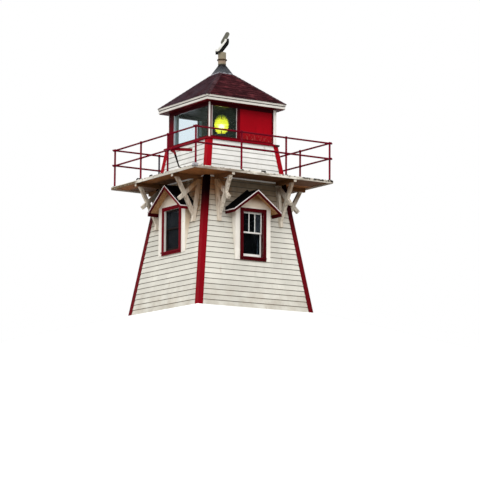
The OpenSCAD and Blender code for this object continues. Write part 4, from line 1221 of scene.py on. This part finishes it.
beads_bm = bmesh.new()
glass_x0 = LANTERN_POST_W - LANTERN_HALF
glass_x1 = glass_x0 + FRONT_GLASS_W
for x0, x1, d0, d1 in ((glass_x0, glass_x0 + 0.034, -0.038, -0.002),
                       (glass_x1 - 0.015, glass_x1, -0.024, -0.006)):
    face_block(beads_bm, 0, x0 + CLEAR, x1 - CLEAR, LANTERN_HALF + d0, LANTERN_HALF + d1,
               GLASS_LOW + CLEAR, HEAD_LOW - CLEAR)
piece(beads_bm, "glazing_beads", bead_paint, seed=52)
stop_bm = bmesh.new()
block(stop_bm, (-0.128, INNER_BACK - 0.012, 5.28), (0.074, 0, 0), (0, 0.0118, 0), (0, 0, HEAD_LOW - 5.281))
piece(stop_bm, "inner_stop", stop_paint_skylit, seed=56)


# Lens and lamp


def lens_radius(z):
    """The lens's outer radius at a height over its middle."""
    return LENS_R * math.sqrt(max(0.1, 1 - (z / (LENS_H * 0.515)) ** 2))


lens_bm = bmesh.new()
profile = [(0.0, -LENS_H / 2)]
for i in range(LENS_RINGS):
    z0 = -LENS_H / 2 + LENS_H * i / LENS_RINGS
    z1 = z0 + LENS_H / LENS_RINGS
    r0, r1 = lens_radius(z0), lens_radius(z1)
    outer, inner = max(r0, r1) * (1.0 if i % 2 else 0.96), min(r0, r1) * 0.88
    tip = z0 + 0.014 if r1 < r0 else z1 - 0.014
    profile += [(inner, z0 + 0.001), (outer, tip), (inner, z1 - 0.001)]
profile.append((0.0, LENS_H / 2))
lathe(lens_bm, profile, LENS_Z)
piece(lens_bm, "lens_rings", lens_yellow_glow, replaces=("lens",), smooth=25)

core_bm = bmesh.new()
turns = [math.pi * i / 12 for i in range(1, 12)]
curve = [(BULB_R * math.sin(t), -BULB_R * math.cos(t)) for t in turns]
lathe(core_bm, [(0.0, -BULB_R), *curve, (0.0, BULB_R)], BULB_Z, 32)
piece(core_bm, "lamp_bulb", lamp_white, smooth=60)

# Brass ribs over the crown of the lens and under its foot
rib_bm = bmesh.new()
for i in range(4):
    turn = math.radians(-122.7 + 90 * i)
    out, side = Vector((math.cos(turn), math.sin(turn), 0)), (-math.sin(turn), math.cos(turn), 0)
    for z0, z1 in ((0.13, LENS_H / 2), (-LENS_H / 2, -0.2)):
        zs = [z0 + (z1 - z0) * n / 6 for n in range(7)]
        line = [out * (lens_radius(z) + 0.003) + Vector((0, 0, LENS_Z + z)) for z in zs]
        strip(rib_bm, line, 0.022, 0.01, side)
piece(rib_bm, "lens_ribs", rib_brass, seed=64)

stand_bm = bmesh.new()
stand_top = LENS_Z - LENS_H / 2 - CLEAR
lathe(stand_bm, [(0.0, DECK_TOP), (LENS_R, DECK_TOP), (LENS_R, DECK_TOP + 0.04), (0.105, DECK_TOP + 0.042),
                 (0.105, stand_top - 0.042), (0.18, stand_top - 0.036), (0.18, stand_top), (0.0, stand_top)],
      0.0, 48)
piece(stand_bm, "lens_stand", stand_metal, replaces=("lens_pedestal",), smooth=35)


# Small fittings on the deck's edge

top = DECK_TOP + 0.001
fit_bm = bmesh.new()
# Cleat on the front edge, plate and low hoop on the left edge, two plates behind the corner
block(fit_bm, (-0.11, -2.296, top), (0.13, 0, 0), (0, 0.03, 0), (0, 0, 0.045))
block(fit_bm, (-2.296, 0.0, top), (0.022, 0, 0), (0, 0.13, 0), (0, 0, 0.04))
turns = [math.pi * i / 8 for i in range(9)]
hoop = [(-2.27, 0.80 + 0.08 * math.cos(t), top + 0.004 + 0.045 * math.sin(t)) for t in turns]
strip(fit_bm, hoop, 0.04, 0.014, (1, 0, 0))
block(fit_bm, (-2.2, -1.98, top), (0.07, 0, 0), (0, 0.09, 0), (0, 0, 0.018))
block(fit_bm, (-2.28, -1.76, top), (0.05, 0, 0), (0, 0.06, 0), (0, 0, 0.02))
piece(fit_bm, "deck_fittings", iron_dark, seed=61)

# Grey strap round the deck's front left corner, and the shoe of its post
shoe_bm = bmesh.new()
strap = ((-REACH, -2.18), (-REACH, -REACH), (-2.2, -REACH),
         (-2.2, -2.3005), (-2.3005, -2.3005), (-2.3005, -2.18))
loft(shoe_bm, [[(x, y, z) for x, y in strap] for z in (DECK_TOP - 0.062, DECK_TOP + 0.04)])
for x, y, w, d in ((-2.3, -2.3, 0.035, 0.12), (-2.264, -2.3, 0.085, 0.035)):
    block(shoe_bm, (x, y, top), (w, 0, 0), (0, d, 0), (0, 0, 0.045))
piece(shoe_bm, "corner_shoe", iron_grey, seed=63)

# Black flashing on the clapboards along the dormer roofs
flash_bm = bmesh.new()
for g in GABLES:
    for s in (-1, 1):
        rings = []
        for x in (s * g.roof * (i / 8) for i in range(9)):
            z0 = roof_z(g, x) + 0.004
            rings.append([at(g.face, g.shift + x, wall_d(z) + BUTT + off, z) for z, off in
                          ((z0, 0.001), (z0, 0.005), (z0 + 0.07, 0.005), (z0 + 0.07, 0.001))])
        loft(flash_bm, rings)
piece(flash_bm, "roof_flashings", black_shingle, seed=62)


# Camera, light and floor


def place_camera():
    """The photo's camera: low, before the front left corner."""
    azimuth, pitch, roll = math.radians(32.71927), math.radians(8.41081), math.radians(0.40592)
    right = Vector((math.cos(azimuth), -math.sin(azimuth), 0))
    level = Vector((math.sin(azimuth), math.cos(azimuth), 0))
    forward = level * math.cos(pitch) + Vector((0, 0, math.sin(pitch)))
    up = Vector((0, 0, math.cos(pitch))) - level * math.sin(pitch)
    right_c = right * math.cos(roll) + up * math.sin(roll)
    up_c = up * math.cos(roll) - right * math.sin(roll)
    data = bpy.data.cameras.new("camera")
    data.sensor_fit, data.sensor_width, data.lens = "HORIZONTAL", 36.0, 168.985
    data.clip_start, data.clip_end = 1.0, 400.0
    camera = bpy.data.objects.new("camera", data)
    scene.collection.objects.link(camera)
    turn = Matrix((right_c, up_c, -forward)).transposed().to_4x4()
    place = (-33.823, -53.67, -7.243)
    camera.matrix_world = Matrix.Translation(place) @ turn
    scene.camera = camera


def mound():
    """Pale floor: level under the tower, then falling away on all sides below the low camera."""
    half, slope, arc = 1.93, 0.26, 12
    corners = ((half, -half), (half, half), (-half, half), (-half, -half))
    turns = [(k, math.radians(90 * (k - 1 + i / arc))) for k in range(4) for i in range(arc + 1)]
    bm = bmesh.new()
    rings = []
    for d in (0.0, 0.1, 0.4, 1.0, 2.0, 4.0, 8.0, 16.0, 32.0, 75.0):
        rings.append([(corners[k][0] + d * math.cos(t), corners[k][1] + d * math.sin(t), -slope * d)
                      for k, t in turns])
    loft(bm, rings)
    bm.faces.ensure_lookup_table()
    bm.faces.remove(bm.faces[-1])
    bmesh.ops.remove_doubles(bm, verts=bm.verts, dist=1e-5)
    floor = as_object(bm, "floor")
    floor.data.shade_smooth()
    s = Shader("floor_plain")
    seen = s.add("ShaderNodeLightPath").outputs
    seen = s.most(seen["Is Camera Ray"], seen["Is Glossy Ray"])
    floor.data.materials.append(s.done(s.mix(seen, lin(118, 114, 106), lin(236, 236, 234)), 0.9))
    floor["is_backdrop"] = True


def lighting():
    """White background, a soft sky that is brighter overhead, and a soft lamp from the front left."""
    world = bpy.data.worlds.new("world")
    scene.world = world
    world.use_nodes = True
    tree = world.node_tree
    tree.nodes.clear()
    path = add_node(tree, "ShaderNodeLightPath").outputs
    seen = path["Is Camera Ray"]
    for ray in ("Is Glossy Ray", "Is Transmission Ray"):
        seen = add_node(tree, "ShaderNodeMath", seen, path[ray], operation="MAXIMUM").outputs[0]
    way = add_node(tree, "ShaderNodeTexCoord").outputs["Generated"]
    height = add_node(tree, "ShaderNodeSeparateXYZ", way).outputs["Z"]
    height = add_node(tree, "ShaderNodeMapRange", height, 0.0, 1.0, 0.74, 2.05).outputs[0]
    sky = add_node(tree, "ShaderNodeBackground", (0.97, 0.985, 1.0, 1.0), height).outputs[0]
    white = add_node(tree, "ShaderNodeBackground", (1.0, 1.0, 1.0, 1.0), 1.0).outputs[0]
    both = add_node(tree, "ShaderNodeMixShader", seen, sky, white).outputs[0]
    add_node(tree, "ShaderNodeOutputWorld", both)
    sun = bpy.data.lights.new("sky_soft", "SUN")
    sun.energy, sun.angle, sun.color = 0.96, math.radians(60), (1.0, 0.985, 0.96)
    lamp = bpy.data.objects.new("sky_soft", sun)
    lamp.rotation_euler = Vector((0.7, 0.7, -0.8)).to_track_quat("-Z", "Y").to_euler()
    scene.collection.objects.link(lamp)


place_camera()
mound()
lighting()
scene.view_settings.view_transform = "Standard"

low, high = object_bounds()
